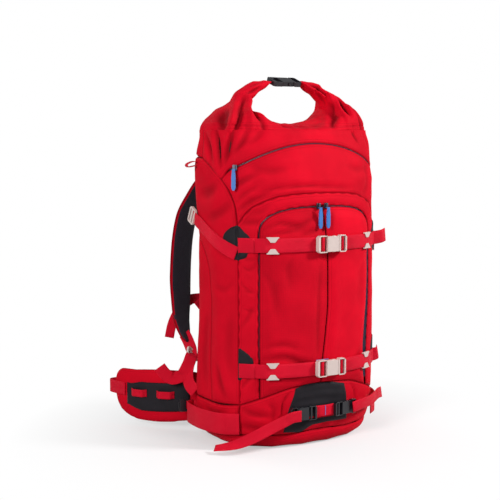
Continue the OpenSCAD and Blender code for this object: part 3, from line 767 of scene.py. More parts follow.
def coated(recipe, colour, tone_and_painted_light):
    """Rubbery coated fabric with a fine grain."""
    place = recipe.cloth()[0]
    grain = recipe.node("ShaderNodeTexVoronoi", None, Vector=place, Scale=1100.0)
    cloudy = recipe.noise(place, 30.0)
    base = recipe.mix(cloudy, shade(colour, 0.7 * tone_and_painted_light), shade(colour, 1.9 * tone_and_painted_light))
    return recipe.set(Base_Color=base, Roughness=cloudy * 0.2 + 0.45, Specular_IOR_Level=0.12,
                      Normal=recipe.bump(grain, 0.4, 0.0004))


def moulded(recipe, colour, rough, grain):
    """Moulded plastic with a fine spark-eroded grain and colour that is slightly uneven with wear."""
    spot = recipe.spot()
    fine = recipe.noise(spot, 2400.0, 2.0)
    cloudy = recipe.noise(spot, 60.0)
    base = recipe.mix(cloudy, shade(colour, 0.90), shade(colour, 1.08))
    return recipe.set(Base_Color=base, Roughness=cloudy * 0.14 + rough,
                      Normal=recipe.bump(fine, grain, 0.0002))


def zip_coil(recipe, colour):
    """Zip tape with its coil down the middle."""
    place, u, v = recipe.cloth()
    middle = v.size() < 2.2
    tooth = (u * 4.6 + v * 1.5).sine()
    fine = recipe.noise(place, 700.0, 2.0)
    base = recipe.mix(middle * (tooth * 0.5 + 0.5), shade(colour, 0.8), shade(colour, 3.2))
    return recipe.set(Base_Color=base, Roughness=middle * -0.2 + 0.62,
                      Normal=recipe.bump(middle * (tooth + 1.5) + fine * 0.3, 0.8, 0.0006))


def metal(recipe, colour, rough):
    """Drawn or cast metal with faint streaks."""
    drawn = recipe.node("ShaderNodeMapping", None, Vector=recipe.spot(), Scale=(20.0, 20.0, 900.0))
    streak = recipe.noise(drawn, 1.0, 2.0)
    base = recipe.mix(streak, shade(colour, 0.85), shade(colour, 1.1))
    return recipe.set(Base_Color=base, Metallic=1.0, Roughness=streak * 0.2 + rough,
                      Normal=recipe.bump(streak, 0.15, 0.0003))


def fabric(tone_and_painted_light=1.0, grid=False):
    """The bag's nylon, in lit and shaded copies: a lower number is darker, painted shade, and a higher one
    lighter, painted light.
    """
    return material(f"nylon_{tone_and_painted_light:.2f}{'_grid' if grid else ''}", nylon, colours().red, tone_and_painted_light, grid)


def strap_cloth(tone_and_painted_light=1.0):
    """The webbing's weave, in lit and shaded copies: a lower number is darker, painted shade."""
    return material(f"webbing_{tone_and_painted_light:.2f}", strapping, colours().web, tone_and_painted_light)


def mesh_cloth():
    """The mesh that faces the wearer."""
    return material("spacer_mesh", spacer_mesh, colours().mesh, 1.0)


def trim():
    """The dark coated cloth of patches and facings."""
    return material("coated_trim", coated, colours().dark, 1.0)


def zip_finish():
    """The zips' tape and coil."""
    return material("zip_coil", zip_coil, colours().navy)


def settle(piece, body, slot, finish, *nodes):
    """Puts a finished piece on its body, with its finish and the nodes that it stands for."""
    if finish is not None:
        piece.data.materials.clear()
        piece.data.materials.append(finish)
    if isinstance(body, str):
        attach(piece, body)
    else:
        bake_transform(piece)
    if nodes:
        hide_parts(*nodes)
    return piece


# The bag's lines, as (round, height) in millimetres on the left half


CORNER = [(-147, 82), (-150, 128), (-154, 180), (-156, 269), (-156, 398)]
CORNER_TOP = [(-156, 398), (-157, 424), (-166, 456), (-181, 478)]
SLANT = [(-181, 478), (-206, 498), (-236, 514)]
REAR = [(-210, 79), (-214, 102), (-220, 162), (-221, 206), (-221, 257), (-224, 280), (-227, 306),
        (-236, 332),
        (-250, 354), (-272, 376), (-287, 392)]
BACK_EDGE = 292
BOOT_LEFT = [(-148, 82), (-114, 94), (-54, 112), (0, 116)]
RIDGE = [(-156, 398), (-147, 409), (-132, 426), (-110, 438), (-79, 448), (-42, 452), (0, 453)]
CENTRE = [(-3, 116), (-2, 148), (4, 210), (8, 264), (8, 346), (3, 400), (-3, 426)]
ZIP_X = 117.2
ARCH_TOP = 430.0
ARCH_FOOT = 374.9
LID_RADIUS = 275.0
LID_TOP = 540.0


def scaled(line):
    """A line of the standard bag, fitted to the sizes in use."""
    wide, tall = sizes().pack_width / 0.330, sizes().body_height / 0.575
    return [(a * wide, z * tall) for a, z in line]


def arch(out, count=25):
    """The pocket zip's arch as (round, height), moved outwards by out."""
    half, top = ZIP_X + out, ARCH_TOP + out
    line = []
    for x in np.sin(np.linspace(-math.pi / 2, math.pi / 2, count)) * half:
        z = ARCH_FOOT + (top - ARCH_FOOT) * max(0, 1 - (abs(x) / half) ** 3) ** (1 / 3)
        line.append((skin().from_x(x, z), z))
    return line


def lid_arch(out, turn=33.5, count=25):
    """The top zip's arch as (round, height), moved outwards by out."""
    line = []
    for t in np.radians(np.linspace(-turn, turn, count)):
        x, z = (LID_RADIUS + out) * math.sin(t), LID_TOP - LID_RADIUS + (LID_RADIUS + out) * math.cos(t)
        line.append((skin().from_x(x, z), z))
    return line


class BACKPACK_OT_seam_shade_shell(bpy.types.Operator):
    """The dark closed shell under the panels, whose near-black colour is painted shade that shows in the
    seams
    """

    bl_idname = "backpack.lining"
    bl_label = "Seam shade shell"

    def execute(self, context):
        around = np.linspace(-ROUND, ROUND, 161)[:-1]
        heights = [2, 5, 9, 14, 20, 28, 40, 55, 75, *range(100, 560, 20), 560]
        rings = [skin().at(around, np.full(len(around), float(z)), -3.4 if z > 6 else -5.0) for z in heights]
        piece = lofted("lining", rings, [[(a, z) for a in around] for z in heights])
        # Nearly black: painted shade, seen through the seams between the panels.
        settle(piece, "pack", "red_fabric", material("seam_shade_cloth", coated, colours().red, 0.06),
               "main_bag")
        return {"FINISHED"}


class BACKPACK_OT_side_panels(bpy.types.Operator):
    """The two cloth panels on each side, and the panel that the wearer's back rests on"""

    bl_idname = "backpack.side_panels"
    bl_label = "Side and back panels"

    def execute(self, context):
        front = scaled(CORNER + CORNER_TOP[1:] + SLANT[1:])
        rear = scaled(REAR + [(-BACK_EDGE + 1, 440), (-BACK_EDGE, 516)])
        folds = [([(-175, 92), (-190, 118), (-200, 150)], 9, 2.2),
                 ([(-160, 440), (-190, 420), (-225, 410)], 12, 1.8),
                 ([(-168, 340), (-190, 352), (-220, 372)], 10, 1.6),
                 ([(-160, 120), (-172, 180), (-170, 250)], 13, 1.2),
                 ([(-190, 470), (-215, 455), (-250, 450)], 14, 2.0),
                 ([(-165, 300), (-185, 285), (-212, 290)], 9, 1.0)]
        back_folds = [([(-232, 95), (-240, 160), (-236, 240)], 12, 1.4)]
        sides = []
        for side in (-1, 1):
            on = partial(on_side, side)
            seed = 3 if side < 0 else 8
            main = panel("side_main", on(rear), on(front), on([rear[0], front[0]]),
                         on([rear[-1], front[-1]]),
                         folds=[(on(f[0]), f[1], f[2]) for f in folds], puff=1.5, uneven=0.6, seed=seed)
            seam_rear = scaled(REAR)
            back = panel("side_rear", on(scaled([(-BACK_EDGE, 79), (-BACK_EDGE, 300), (-BACK_EDGE, 394)])),
                         on(seam_rear),
                         on([(-BACK_EDGE, 79), seam_rear[0]]), on([(-BACK_EDGE, 394), seam_rear[-1]]),
                         folds=[(on(f[0]), f[1], f[2]) for f in back_folds], puff=1.4, uneven=0.5,
                         seed=seed + 1)
            sides += [main, back]
        # The side panels take a darker copy of the nylon: painted shade for sides that turn away from the
        # light.
        for piece in sides:
            piece.data.materials.append(fabric(0.94))
        settle(joined("side_panels", sides), "pack", "red_fabric", None)
        low, high = 79, 516
        wide = 2 * ROUND - BACK_EDGE
        back = panel("back_panel", scaled([(BACK_EDGE, low), (BACK_EDGE, high)]),
                     [(wide, low), (wide, high)],
                     [(BACK_EDGE, low), (ROUND, low), (wide, low)],
                     [(BACK_EDGE, high), (ROUND, high), (wide, high)],
                     puff=0.0, lift=0.1, uneven=0.0, step=7)
        settle(back, "pack", "mesh_foam", mesh_cloth())
        return {"FINISHED"}


class BACKPACK_OT_front_panels(bpy.types.Operator):
    """The visor round the pocket, the pocket's two halves and the top pocket"""

    bl_idname = "backpack.front_panels"
    bl_label = "Front panels and pockets"

    def execute(self, context):
        gap = 0.9
        inner = arch(gap)
        left_edge = [(-115, 94), (-118, 146), (-120.5, 200), (-121.5, 270), (-121, 320), inner[0]]
        right_edge = [(115, 94), (111, 130), (112, 165), (116, 210), (121, 260), (122, 310), (121.5, 350),
                      inner[-1]]
        outer = mirrored(CORNER + RIDGE[1:])
        inside = left_edge + inner[1:-1] + right_edge[::-1]
        folds = [([(-150, 110), (-136, 128), (-124, 150)], 5, 1.8),
                 ([(-152, 300), (-138, 286), (-126, 282)], 4, 1.6),
                 ([(-152, 262), (-140, 252), (-128, 250)], 4, 1.2),
                 ([(-150, 330), (-138, 322), (-126, 326)], 4, 1.4),
                 ([(-152, 220), (-140, 236), (-128, 262)], 6, 1.4),
                 ([(-150, 350), (-137, 340), (-124, 342)], 5, 1.2),
                 ([(-150, 404), (-126, 404), (-108, 412)], 8, 1.8),
                 ([(-138, 416), (-120, 420), (-98, 432)], 7, 1.4),
                 ([(-152, 170), (-138, 160), (-122, 166)], 5, 1.2)]
        visor = panel("visor", outer, inside, [outer[0], inside[0]], [outer[-1], inside[-1]], lift=1.3,
                      puff=1.3,
                      spread=14, folds=folds, uneven=0.5, seed=12)
        visor.data.materials.append(fabric(1.0))
        settle(visor, "pack", "red_fabric", None)

        pocket_top = arch(-gap)
        middle = len(pocket_top) // 2
        middle_line = CENTRE[:-1] + [pocket_top[middle]]
        foot = [(-114, 94), (-54, 112), (-3, 116), (54, 112), (114, 94)]
        left = [foot[0], (-116.4, 146), (-118.9, 200), (-119.9, 270), (-119.4, 320), pocket_top[0]]
        right = [(109, 95), (101, 130), (100, 165), (104, 210), (111, 260), (114, 310), (115, 350),
                 pocket_top[-1]]
        pocket_folds = [([(-108, 166), (-76, 168), (-42, 154), (-6, 140)], 8, 2.4),
                        ([(-110, 186), (-80, 190), (-44, 178)], 7, 1.6),
                        ([(-8, 330), (-12, 280), (-14, 220), (-12, 160)], 6, 1.8),
                        ([(-104, 128), (-76, 132), (-40, 128)], 7, 1.6),
                        ([(-112, 392), (-84, 402), (-50, 398), (-18, 412)], 6, 2.2),
                        ([(-104, 384), (-70, 388), (-30, 392)], 6, 1.8),
                        ([(-6, 392), (-26, 386), (-50, 380)], 5, 1.6),
                        ([(-112, 320), (-96, 290), (-90, 240)], 10, 1.4),
                        ([(-60, 346), (-70, 320), (-66, 290)], 9, 1.2)]
        half = panel("pocket_half_left", left, middle_line, foot[:3], pocket_top[:middle + 1], lift=1.0,
                     puff=4.2,
                     folds=pocket_folds, uneven=0.8, seed=21, spread=24)
        # The pocket's left half takes a darker copy of the nylon: painted shade.
        half.data.materials.append(fabric(0.93, True))
        right_folds = [([(14, 330), (22, 260), (18, 190), (6, 140)], 10, -1.0),
                       ([(100, 330), (86, 300), (82, 240)], 14, 1.0),
                       ([(60, 130), (76, 150), (92, 180)], 10, 1.2)]
        other = panel("pocket_half_right", middle_line, right, [foot[2], foot[3], right[0]],
                      pocket_top[middle:],
                      lift=1.2, puff=4.2, folds=right_folds, uneven=0.6, seed=22, spread=20,
                      dips=(0.15, 1, 1, 1))
        # The pocket's right half takes a lighter copy of the nylon: painted light.
        other.data.materials.append(fabric(1.06))
        settle(joined("front_pocket_cloth", [half, other]), "pack", "red_fabric", None, "front_pocket")

        lid = lid_arch(-gap)
        top = [CORNER_TOP[-1]] + lid + [(-CORNER_TOP[-1][0], CORNER_TOP[-1][1])]
        side = on_side(1, CORNER_TOP)
        lid_folds = [([(-120, 457), (-80, 463), (-41, 466), (20, 463), (66, 460)], 4.5, 2.2),
                     ([(-154, 424), (-130, 440), (-96, 454)], 6, 2.0),
                     ([(-164, 458), (-146, 472), (-116, 486)], 8, 2.0),
                     ([(-158, 436), (-140, 452), (-112, 470)], 6, 1.8),
                     ([(-128, 500), (-96, 492), (-60, 496)], 9, 1.4),
                     ([(100, 440), (118, 470), (120, 500)], 10, 1.4),
                     ([(60, 500), (90, 492), (126, 496)], 9, 1.2)]
        pocket = panel("top_pocket_cloth", CORNER_TOP, side, mirrored(RIDGE), top, lift=0.8, puff=2.4,
                       spread=30,
                       folds=lid_folds, uneven=0.6, seed=31)
        settle(pocket, "pack", "red_fabric", fabric(0.98), "top_pocket")
        return {"FINISHED"}


class BACKPACK_OT_upper_panels(bpy.types.Operator):
    """The cloth above the top zip, and behind it round the back"""

    bl_idname = "backpack.upper_panels"
    bl_label = "Upper panels"

    def execute(self, context):
        lid = lid_arch(0.9)
        low = SLANT[::-1] + lid + on_side(1, SLANT)
        high = 563.0
        edge = [(-236, 514), (-236, high)]
        folds = [([(-228, 556), (-210, 530), (-200, 508)], 8, 3.0),
                 ([(-190, 566), (-184, 534), (-180, 498)], 6, 4.2),
                 ([(-152, 566), (-162, 536), (-170, 504)], 6, 3.6),
                 ([(-124, 566), (-136, 548), (-158, 520)], 7, 2.6),
                 ([(-96, 566), (-110, 552), (-134, 536)], 8, 1.8),
                 ([(104, 566), (106, 552), (110, 540)], 6, 2.6),
                 ([(180, 556), (176, 530), (172, 504)], 8, 2.4),
                 ([(140, 560), (150, 540), (158, 512)], 9, 1.6)]
        front = panel("upper_front", edge, on_side(1, edge), low, [(-236, high), (0, high), (236, high)],
                      folds=folds, puff=1.0, uneven=0.6, seed=41, dips=(0.4, 0.4, 1, 0))
        far = 2 * ROUND - 236
        rear = panel("upper_rear", [(236, 514), (236, high)], [(far, 514), (far, high)],
                     [(236, 514), (BACK_EDGE, 518), (ROUND, 518), (2 * ROUND - BACK_EDGE, 518), (far, 514)],
                     [(236, high), (ROUND, high), (far, high)], lift=-0.2, puff=0.5, uneven=0.2, seed=42,
                     dips=(0.4, 0.4, 1, 0),
                     folds=[([(600, 556), (585, 535), (560, 524)], 9, 2.2),
                            ([(256, 556), (275, 535), (300, 524)], 9, 2.2)])
        settle(joined("upper_cloth", [front, rear]), "pack", "red_fabric", fabric(0.97))
        return {"FINISHED"}


class BACKPACK_OT_bottom_panels(bpy.types.Operator):
    """The bottom panel in three parts, and the base that it stands on"""

    bl_idname = "backpack.bottom_panels"
    bl_label = "Bottom panels"

    def execute(self, context):
        base = 25
        top = mirrored(BOOT_LEFT)
        corner = [(-154, base), (-151, 52), (-148, 82)]
        folds = [([(-62, 106), (-74, 86), (-79, 40)], 3.0, 2.6),
                 ([(-146, 78), (-120, 66), (-96, 62)], 7, 1.8),
                 ([(-150, 44), (-120, 40), (-96, 30)], 8, 1.8), ([(-100, 88), (-90, 70), (-92, 50)], 7, 1.4),
                 ([(62, 106), (76, 86), (80, 44)], 3.0, 2.2), ([(146, 70), (120, 60), (96, 60)], 8, 1.6)]
        low = [(-154, base), (-70, base), (0, base + 4), (70, base), (154, base)]
        front = panel("boot_front", corner, on_side(1, corner), low, top, folds=folds, lift=0.4, puff=1.0,
                      spread=14,
                      uneven=0.5, seed=51)
        far = 2 * ROUND
        rest = panel("boot_rest", [(154, base), (151, 52), (148, 82)],
                     [(far - 154, base), (far - 151, 52), (far - 148, 82)],
                     [(154, base), (ROUND, base), (far - 154, base)],
                     [(148, 82), (190, 78), (210, 78), (BACK_EDGE, 78), (ROUND, 78), (far - BACK_EDGE, 78),
                      (far - 210, 78),
                      (far - 190, 78), (far - 148, 82)], puff=1.6, spread=14, uneven=0.7, seed=52,
                     folds=[([(far - 170, 70), (far - 200, 60), (far - 230, 66)], 8, 1.8)])
        settle(joined("bottom_cloth", [front, rest]), "pack", "red_fabric", fabric(0.98), "boot")
        foot = panel("base_cloth", [(-ROUND, 2), (-ROUND, base)], [(ROUND, 2), (ROUND, base)],
                     [(-ROUND, 2), (0, 2), (ROUND, 2)],
                     [(-ROUND, base), (-154, base), (-70, base), (0, base + 4), (70, base), (154, base),
                      (ROUND, base)],
                     puff=2.2, lift=0.6, spread=9, uneven=0.5, seed=53, dips=(0.1, 0.1, 0.4, 1), step=5)
        settle(foot, "pack", "red_fabric", fabric(1.0))
        return {"FINISHED"}


RING_HALF = 85.0
RING_RISE = 76.0
HIGH_SHOULDER = [(0, 66), (0.45, 68), (0.52, 65), (0.67, 52), (0.76, 40), (0.85, 26), (0.92, 11), (0.97, 0)]
LOW_SHOULDER = [(0, 66), (0.45, 67), (0.52, 61), (0.60, 50), (0.68, 39), (0.76, 29), (0.85, 18), (0.92, 8),
                (0.97, 0)]


def ridge_height(x, outer):
    """The collar's top edge over x: its outer shoulders, or the dip under the hand opening."""
    r = abs(x) / 165
    shoulder = LOW_SHOULDER if x < 0 else HIGH_SHOULDER
    table = shoulder if outer else [(0, 1.5), (0.08, -1), (0.17, 2), (0.27, 4.5), (0.4, 12), (0.5, 27),
                                    (0.6, 48)]
    return skin().height + float(smooth_curve(table)(r))


def collar_ring(x, outer):
    """A closed arch over the bag at x, from its front skin over the ridge to its back skin."""
    s = skin()
    low = 0.974 * s.height - 3
    top = max(low + 6, ridge_height(x, outer))
    front = float(s.front_y(x, low + 3))
    back = float(s.rear(low + 3)) * max(0.0, 1 - min(1, abs(x) / float(s.half(low + 3))) ** 7) ** (1 / 7)
    thick, mid = (17, 15) if outer else (8, 15)
    rise = top - low
    steep = min(1.0, (abs(x) - RING_HALF) / 35) if outer else 1.0
    a, up = 0.3 + 0.3 * steep, low + rise * (0.5 + 0.28 * steep)
    near = low + rise * (0.86 + 0.09 * steep)
    line = [(front, low), (front * 0.95 + mid * 0.05, low + rise * (0.22 + 0.16 * steep)),
            (front * a + (mid - thick) * (1 - a), up), ((mid - thick) * 0.88 + front * 0.12, near),
            (mid, top),
            ((mid + thick) * 0.88 + back * 0.12, near), (back * a + (mid + thick) * (1 - a), up),
            (back * 0.96 + mid * 0.04, low + rise * (0.22 + 0.16 * steep)), (back, low)]
    smooth = smooth_line(line, 33)
    return [(x, y, z) for y, z in smooth]


def arm_rings(side, count=26):
    """Rings of half of the hand ring: from the collar's shoulder up to the closing buckle."""
    top = skin().height + RING_RISE
    root = ridge_height(RING_HALF, True)
    stations = [[RING_HALF + 12, root - 32, 17, 17], [RING_HALF + 3, root - 19, 15, 16],
                [RING_HALF - 8, root - 11, 13, 15.5],
                [RING_HALF - 21, root - 1, 11.5, 14.5], [50, top - 8, 9, 13.5], [41, top - 3, 6.0, 12.5],
                [31, top - 0.4, 2.0, 11.5]]
    s = smooth_line(stations, count)
    way = unit(np.gradient(s[:, :2], axis=0))
    rings = []
    for p, d in zip(s, way):
        n = np.array([d[1], -d[0]])
        turn = np.radians(np.arange(0, 360, 15))
        rings.append(np.stack([side * (p[0] + n[0] * p[2] * np.cos(turn)), 15 + p[3] * np.sin(turn),
                               p[1] + n[1] * p[2] * np.cos(turn)], 1))
    return rings


def crease(piece, folds, uneven, seed, low=18.0, high=60.0):
    """Presses folds and unevenness into a piece along its normals."""
    p = places(piece)
    flatter = np.array((1, 0.3, 1))
    flat_folds = [(np.array(line) * flatter, width, depth) for line, width, depth in folds]
    folded = fold_depth(p * flatter, flat_folds)
    # The fold depth is kept as well for the nylon's painted shade in the folds.
    note_places(piece, "fold", folded)
    move_points(piece, p - normals(piece) * (folded - uneven * ripple(p, seed, low, high))[:, None])


class BACKPACK_OT_collar(bpy.types.Operator):
    """The rolled collar with its hand ring"""

    bl_idname = "backpack.collar"
    bl_label = "Collar and ring"

    def execute(self, context):
        wide = float(skin().half(0.974 * skin().height))
        reach = RING_HALF + (wide - RING_HALF) * np.sin(np.linspace(0, math.pi / 2, 18)) * 0.992
        stops = [(-x, True) for x in reach[::-1]]
        stops += [(x, False) for x in np.linspace(-RING_HALF, RING_HALF, 35)]
        stops += [(x, True) for x in reach]
        body = lofted("collar_cloth", [collar_ring(*stop) for stop in stops])
        arm = lofted("arm_left", arm_rings(-1))
        collar = remeshed(joined("collar_cloth", [body, arm]), 3.0)
        relax(collar, 6)
        folds = [([(-98, -14, 622), (-122, -32, 596), (-138, -42, 562)], 5, 6.5),
                 ([(-88, -10, 616), (-106, -38, 590), (-114, -54, 560)], 6, -4.0),
                 ([(-82, -8, 610), (-92, -36, 588), (-92, -62, 562)], 5, 5.0),
                 ([(-128, 0, 606), (-146, -12, 584), (-156, -22, 560)], 6, 5.0),
                 ([(-112, -14, 612), (-132, -28, 586), (-148, -34, 560)], 5, -3.0),
                 ([(-70, -10, 596), (-60, -36, 582), (-36, -62, 570)], 6, 3.6),
                 ([(-56, -6, 588), (-34, -30, 580), (-8, -56, 572)], 6, 2.2),
                 ([(104, -14, 626), (104, -30, 600), (103, -50, 566)], 3.6, 6.5),
                 ([(96, -14, 618), (94, -34, 596), (90, -56, 566)], 5, -3.0),
                 ([(88, -10, 612), (78, -36, 592), (52, -62, 570)], 5, 5.0),
                 ([(116, -12, 618), (126, -28, 594), (132, -46, 562)], 6, 4.6),
                 ([(134, -4, 602), (146, -16, 582), (154, -26, 560)], 6, 4.0),
                 ([(72, -8, 598), (56, -32, 584), (20, -60, 572)], 6, 3.4),
                 ([(60, -6, 590), (36, -30, 580), (4, -50, 574)], 6, 2.0),
                 ([(-100, 44, 616), (-116, 60, 596), (-124, 70, 566)], 8, 4.0),
                 ([(100, 44, 616), (116, 60, 596), (124, 70, 566)], 8, 4.0),
                 ([(-60, 40, 588), (-40, 58, 578), (-20, 68, 566)], 8, 2.4),
                 ([(60, 40, 588), (40, 58, 578), (20, 68, 566)], 8, 2.4),
                 ([(-92, 0, 630), (-76, -2, 632), (-60, 0, 640)], 3.4, 3.4),
                 ([(-120, 2, 620), (-98, -4, 634), (-72, -2, 646), (-50, 2, 655)], 3.6, 4.0)]
        crease(collar, folds, 1.2, 61)
        relax(collar, 2)
        rounded(collar)
        crease(collar, [], 0.25, 62, 10, 26)
        p = places(collar)
        hem = np.abs(p[:, 2] - (568.5 + 0.00015 * p[:, 0] ** 2))
        groove = 0.8 * np.exp(-(hem / 1.5) ** 2) * (np.abs(p[:, 0]) < 158)
        move_points(collar, p - normals(collar) * groove[:, None])
        cloth_places(collar, None, np.where(np.abs(p[:, 0]) < 160, np.maximum(hem, 2.4), 40))
        settle(collar, "pack", "red_fabric", fabric(0.97), "collar", "roll_arm_left")

        arm = remeshed(lofted("roll_arm_right_cloth", arm_rings(1)), 2.2)
        relax(arm, 4)
        crease(arm, [([(98, -2, 622), (80, -2, 632), (60, 0, 644), (42, 2, 652)], 3.2, 4.2),
                     ([(94, 2, 640), (76, -4, 642), (60, -4, 634)], 3.2, 3.4),
                     ([(88, -6, 606), (76, -3, 620), (62, 0, 634)], 3.2, 3.2)], 0.9, 63)
        rounded(arm)
        cloth_places(arm)
        settle(arm, ("pack", "roll_clip", (0.086, 0.015, 0.630), (0.034, 0.015, 0.650)), "red_fabric",
               fabric(0.97),
               "roll_arm_right")
        return {"FINISHED"}


class BACKPACK_OT_zips(bpy.types.Operator):
    """The tapes and coils of the two arched zips, and the lining that shows in the open pocket zip"""

    bl_idname = "backpack.zips"
    bl_label = "Zips"

    def execute(self, context):
        line = [(skin().from_x(-ZIP_X, z), z) for z in (165, 235, 305)] + arch(0) \
            + [(skin().from_x(ZIP_X, z), z) for z in (305, 235, 165)]
        for name, path, node in (("pocket_zip_tape", line, "pocket_zip"),
                                 ("top_zip_tape", lid_arch(0), "top_zip")):
            points, facing = on_skin(path, -2.4)
            tape = webbing(name, points, facing, 6.5, 1.2, 3.0)
            settle(tape, "pack", "zip_tape", zip_finish(), node)
        low, high = 110, 372
        strip = panel("pocket_lining", [(100, low), (98, 165), (108, 260), (112, high)],
                      [(121, low), (119, 165), (130, 260), (126, high)],
                      [(100, low), (121, low)], [(112, high), (126, high)], lift=-0.6, puff=0,
                      dips=(0, 0, 0, 0), uneven=0.2)
        settle(strip, "pack", "zip_tape", material("lining_navy", coated, colours().navy, 1.0))
        return {"FINISHED"}


class BACKPACK_OT_patches(bpy.types.Operator):
    """Dark reinforcing patches at the strap ends and on the bottom panel"""

    bl_idname = "backpack.patches"
    bl_label = "Patches"

    def execute(self, context):
        patches = []
        for side in (-1, 1):
            on = partial(on_side, side)
            left = [(-156, 338), (-172, 343), (-184, 354), (-188, 368), (-184, 382), (-172, 393),
                    (-156, 399)]
            right = [(-155.5, 338), (-143, 343), (-133, 355), (-129, 368), (-133, 381), (-143, 392),
                     (-155.5, 399)]
            patches.append(panel("patch_high", on(left), on(right), on([left[0], right[0]]),
                                 on([left[-1], right[-1]]),
                                 lift=3.1, puff=0.5, spread=5, uneven=0.2, step=3, dips=(0.5, 0.5, 0.5, 0.5),
                                 folds=[(on([(-156, 336), (-156, 402)]), 2.2, 2.4)]))
            left = [(-153, 128), (-153.5, 155), (-154, 183)]
            right = [(-150, 127), (-139, 133), (-130, 145), (-127, 157), (-131, 171), (-141, 180),
                     (-151, 184)]
            patches.append(panel("patch_low", on(left), on(right), on([left[0], right[0]]),
                                 on([left[-1], right[-1]]),
                                 lift=3.1, puff=0.4, spread=5, uneven=0.2, step=3,
                                 dips=(0.5, 0.5, 0.5, 0.5)))
        settle(joined("corner_patch_cloth", patches), "pack", "dark_trim", trim(), "corner_patches")
        sheet = panel("rubber_sheet", [(-73, 31), (-68, 60), (-57, 95), (-53, 111)],
                      [(60, 40), (55, 68), (53, 88), (46, 109)],
                      [(-73, 31), (-42, 29), (-14, 40), (14, 41), (60, 40)],
                      [(-53, 111), (-28, 117), (10, 116), (46, 109)],
                      lift=2.9, puff=0.6, spread=8, uneven=0.5, seed=71, step=3.4, dips=(0.6, 0.6, 0.6, 0.5),
                      folds=[([(-60, 84), (-20, 88), (40, 84)], 7, 1.2),
                             ([(-64, 44), (-20, 54), (52, 52)], 7, 1.4),
                             ([(-50, 100), (0, 104), (44, 98)], 4, 0.8)])
        settle(sheet, "pack", "dark_trim", trim(), "rubber_patch")
        return {"FINISHED"}


BUCKLE_X = 7.0
UPPER_Z = 365.0
LOWER_Z = 145.0
POCKET_OUT = 7.2
CORNER_X = 141.9


def strap_under(x):
    """How far the webbing lies off the skin at x: over the pocket, then down to the corner."""
    return float(np.interp(abs(x), [0, 114, 126, 200], [POCKET_OUT, POCKET_OUT, 3.8, 3.8]))


def strap_run(x0, x1, z, count=13):
    """Points and facings of the webbing across the front, half its thickness off its bed."""
    wide = sizes().web_width / MM
    xs = np.linspace(x0, x1, count)
    y = np.array([float(skin().reach(x, z, strap_under(x), wide)) for x in xs]) - THICK / 2
    facing = np.stack([np.gradient(y, xs), -np.ones(count), np.zeros(count)], 1)
    return np.stack([xs, y, np.full(count, z)], 1), unit(facing)


def loop_through(bar, y, z, half, way):
    """The webbing's turn over a buckle's bar, from its bed into the window and back under itself."""
    p = [(bar + way * (half + 7), y + 5.2), (bar + way * (half + 1.6), y + 4.4),
         (bar + way * (half + 0.9), y + 0.6),
         (bar + way * (half - 0.6), y - 2.6), (bar, y - 3.0), (bar - way * (half - 0.6), y - 2.6),
         (bar - way * (half + 0.9), y + 0.4), (bar - way * (half - 0.2), y + 3.6),
         (bar + way * half, y + 4.6)]
    pts = np.array([(a, b, z) for a, b in p])
    t = np.gradient(pts, axis=0)
    return pts, unit(np.cross(t, (0, 0, -way)))


class BACKPACK_OT_front_straps(bpy.types.Operator):
    """The two compression straps across the front and the side straps"""

    bl_idname = "backpack.front_straps"
    bl_label = "Compression straps"

    def execute(self, context):
        wide = sizes().web_width / MM
        for word, z in (("upper", UPPER_Z), ("lower", LOWER_Z)):
            bed = float(skin().reach(0, z, POCKET_OUT, wide))
            middle = bed - THICK - 0.4 - 4.5
            run, face = strap_run(-CORNER_X - 4, BUCKLE_X - 24, z)
            turn, turned = loop_through(BUCKLE_X - 18.4, middle, z, 2.0, -1)
            left = webbing(f"{word}_strap_left", np.concatenate([run, turn[1:]]),
                           np.concatenate([face, turned[1:]]), wide, step=2.6)
            tab, tab_face = strap_run(-CORNER_X - 5, -CORNER_X + 16, z, 5)
            tab[:, 1] -= 1.3
            fold = webbing(f"{word}_tab", tab, tab_face, wide + 0.6, 1.2, 3.0)
            settle(joined(f"{word}_strap_left", [left, fold]), "pack", "red_fabric", strap_cloth(),
                   f"{word}_web_left")

            run, face = strap_run(BUCKLE_X + 30, CORNER_X + 3, z)
            turn, turned = loop_through(BUCKLE_X + 22.3, middle, z, 1.4, 1)
            right = webbing(f"{word}_strap_right", np.concatenate([run[::-1], turn[1:]]),
                            np.concatenate([face[::-1], turned[1:]]), wide, step=2.6)
            long = 30 if word == "upper" else 14
            end = run[-1]
            tail_line = [end + (-26, -3.0, 0), end + (-12, -2.4, 0), end + (0, -2.2, 0),
                         end + (long * 0.5, -2.8, 1.5), end + (long, 4, 4)]
            tail = webbing(f"{word}_tail", tail_line, (0.35, -1, 0), wide, step=3.0)
            settle(joined(f"{word}_strap_right", [right, tail]),
                   ("pack", f"{word}_clip", (CORNER_X * MM, 0, z * MM), ((BUCKLE_X + 30) * MM, 0, z * MM)),
                   "red_fabric", strap_cloth(), f"{word}_web_right")
        sides = []
        for side in (-1, 1):
            line = []
            ends = np.linspace(-0.20, 1.16, 13)
            for r in ends:
                z = (0.625 + 0.078 * r) * skin().height
                line.append((skin().from_y(side, -44 + r * 90, z), z))
            points, facing = on_skin(line, np.interp(ends, [0, 0.85, 1.16], [5.2, 5.2, 9.5]))
            sides.append(webbing("side_strap", points, facing, wide - 1, step=4))
        settle(joined("side_strap_webbing", sides), "pack", "red_fabric", strap_cloth(1.04), "side_straps")
        return {"FINISHED"}


CARRY_Z = 66.0
CARRY_OFF = 2.4


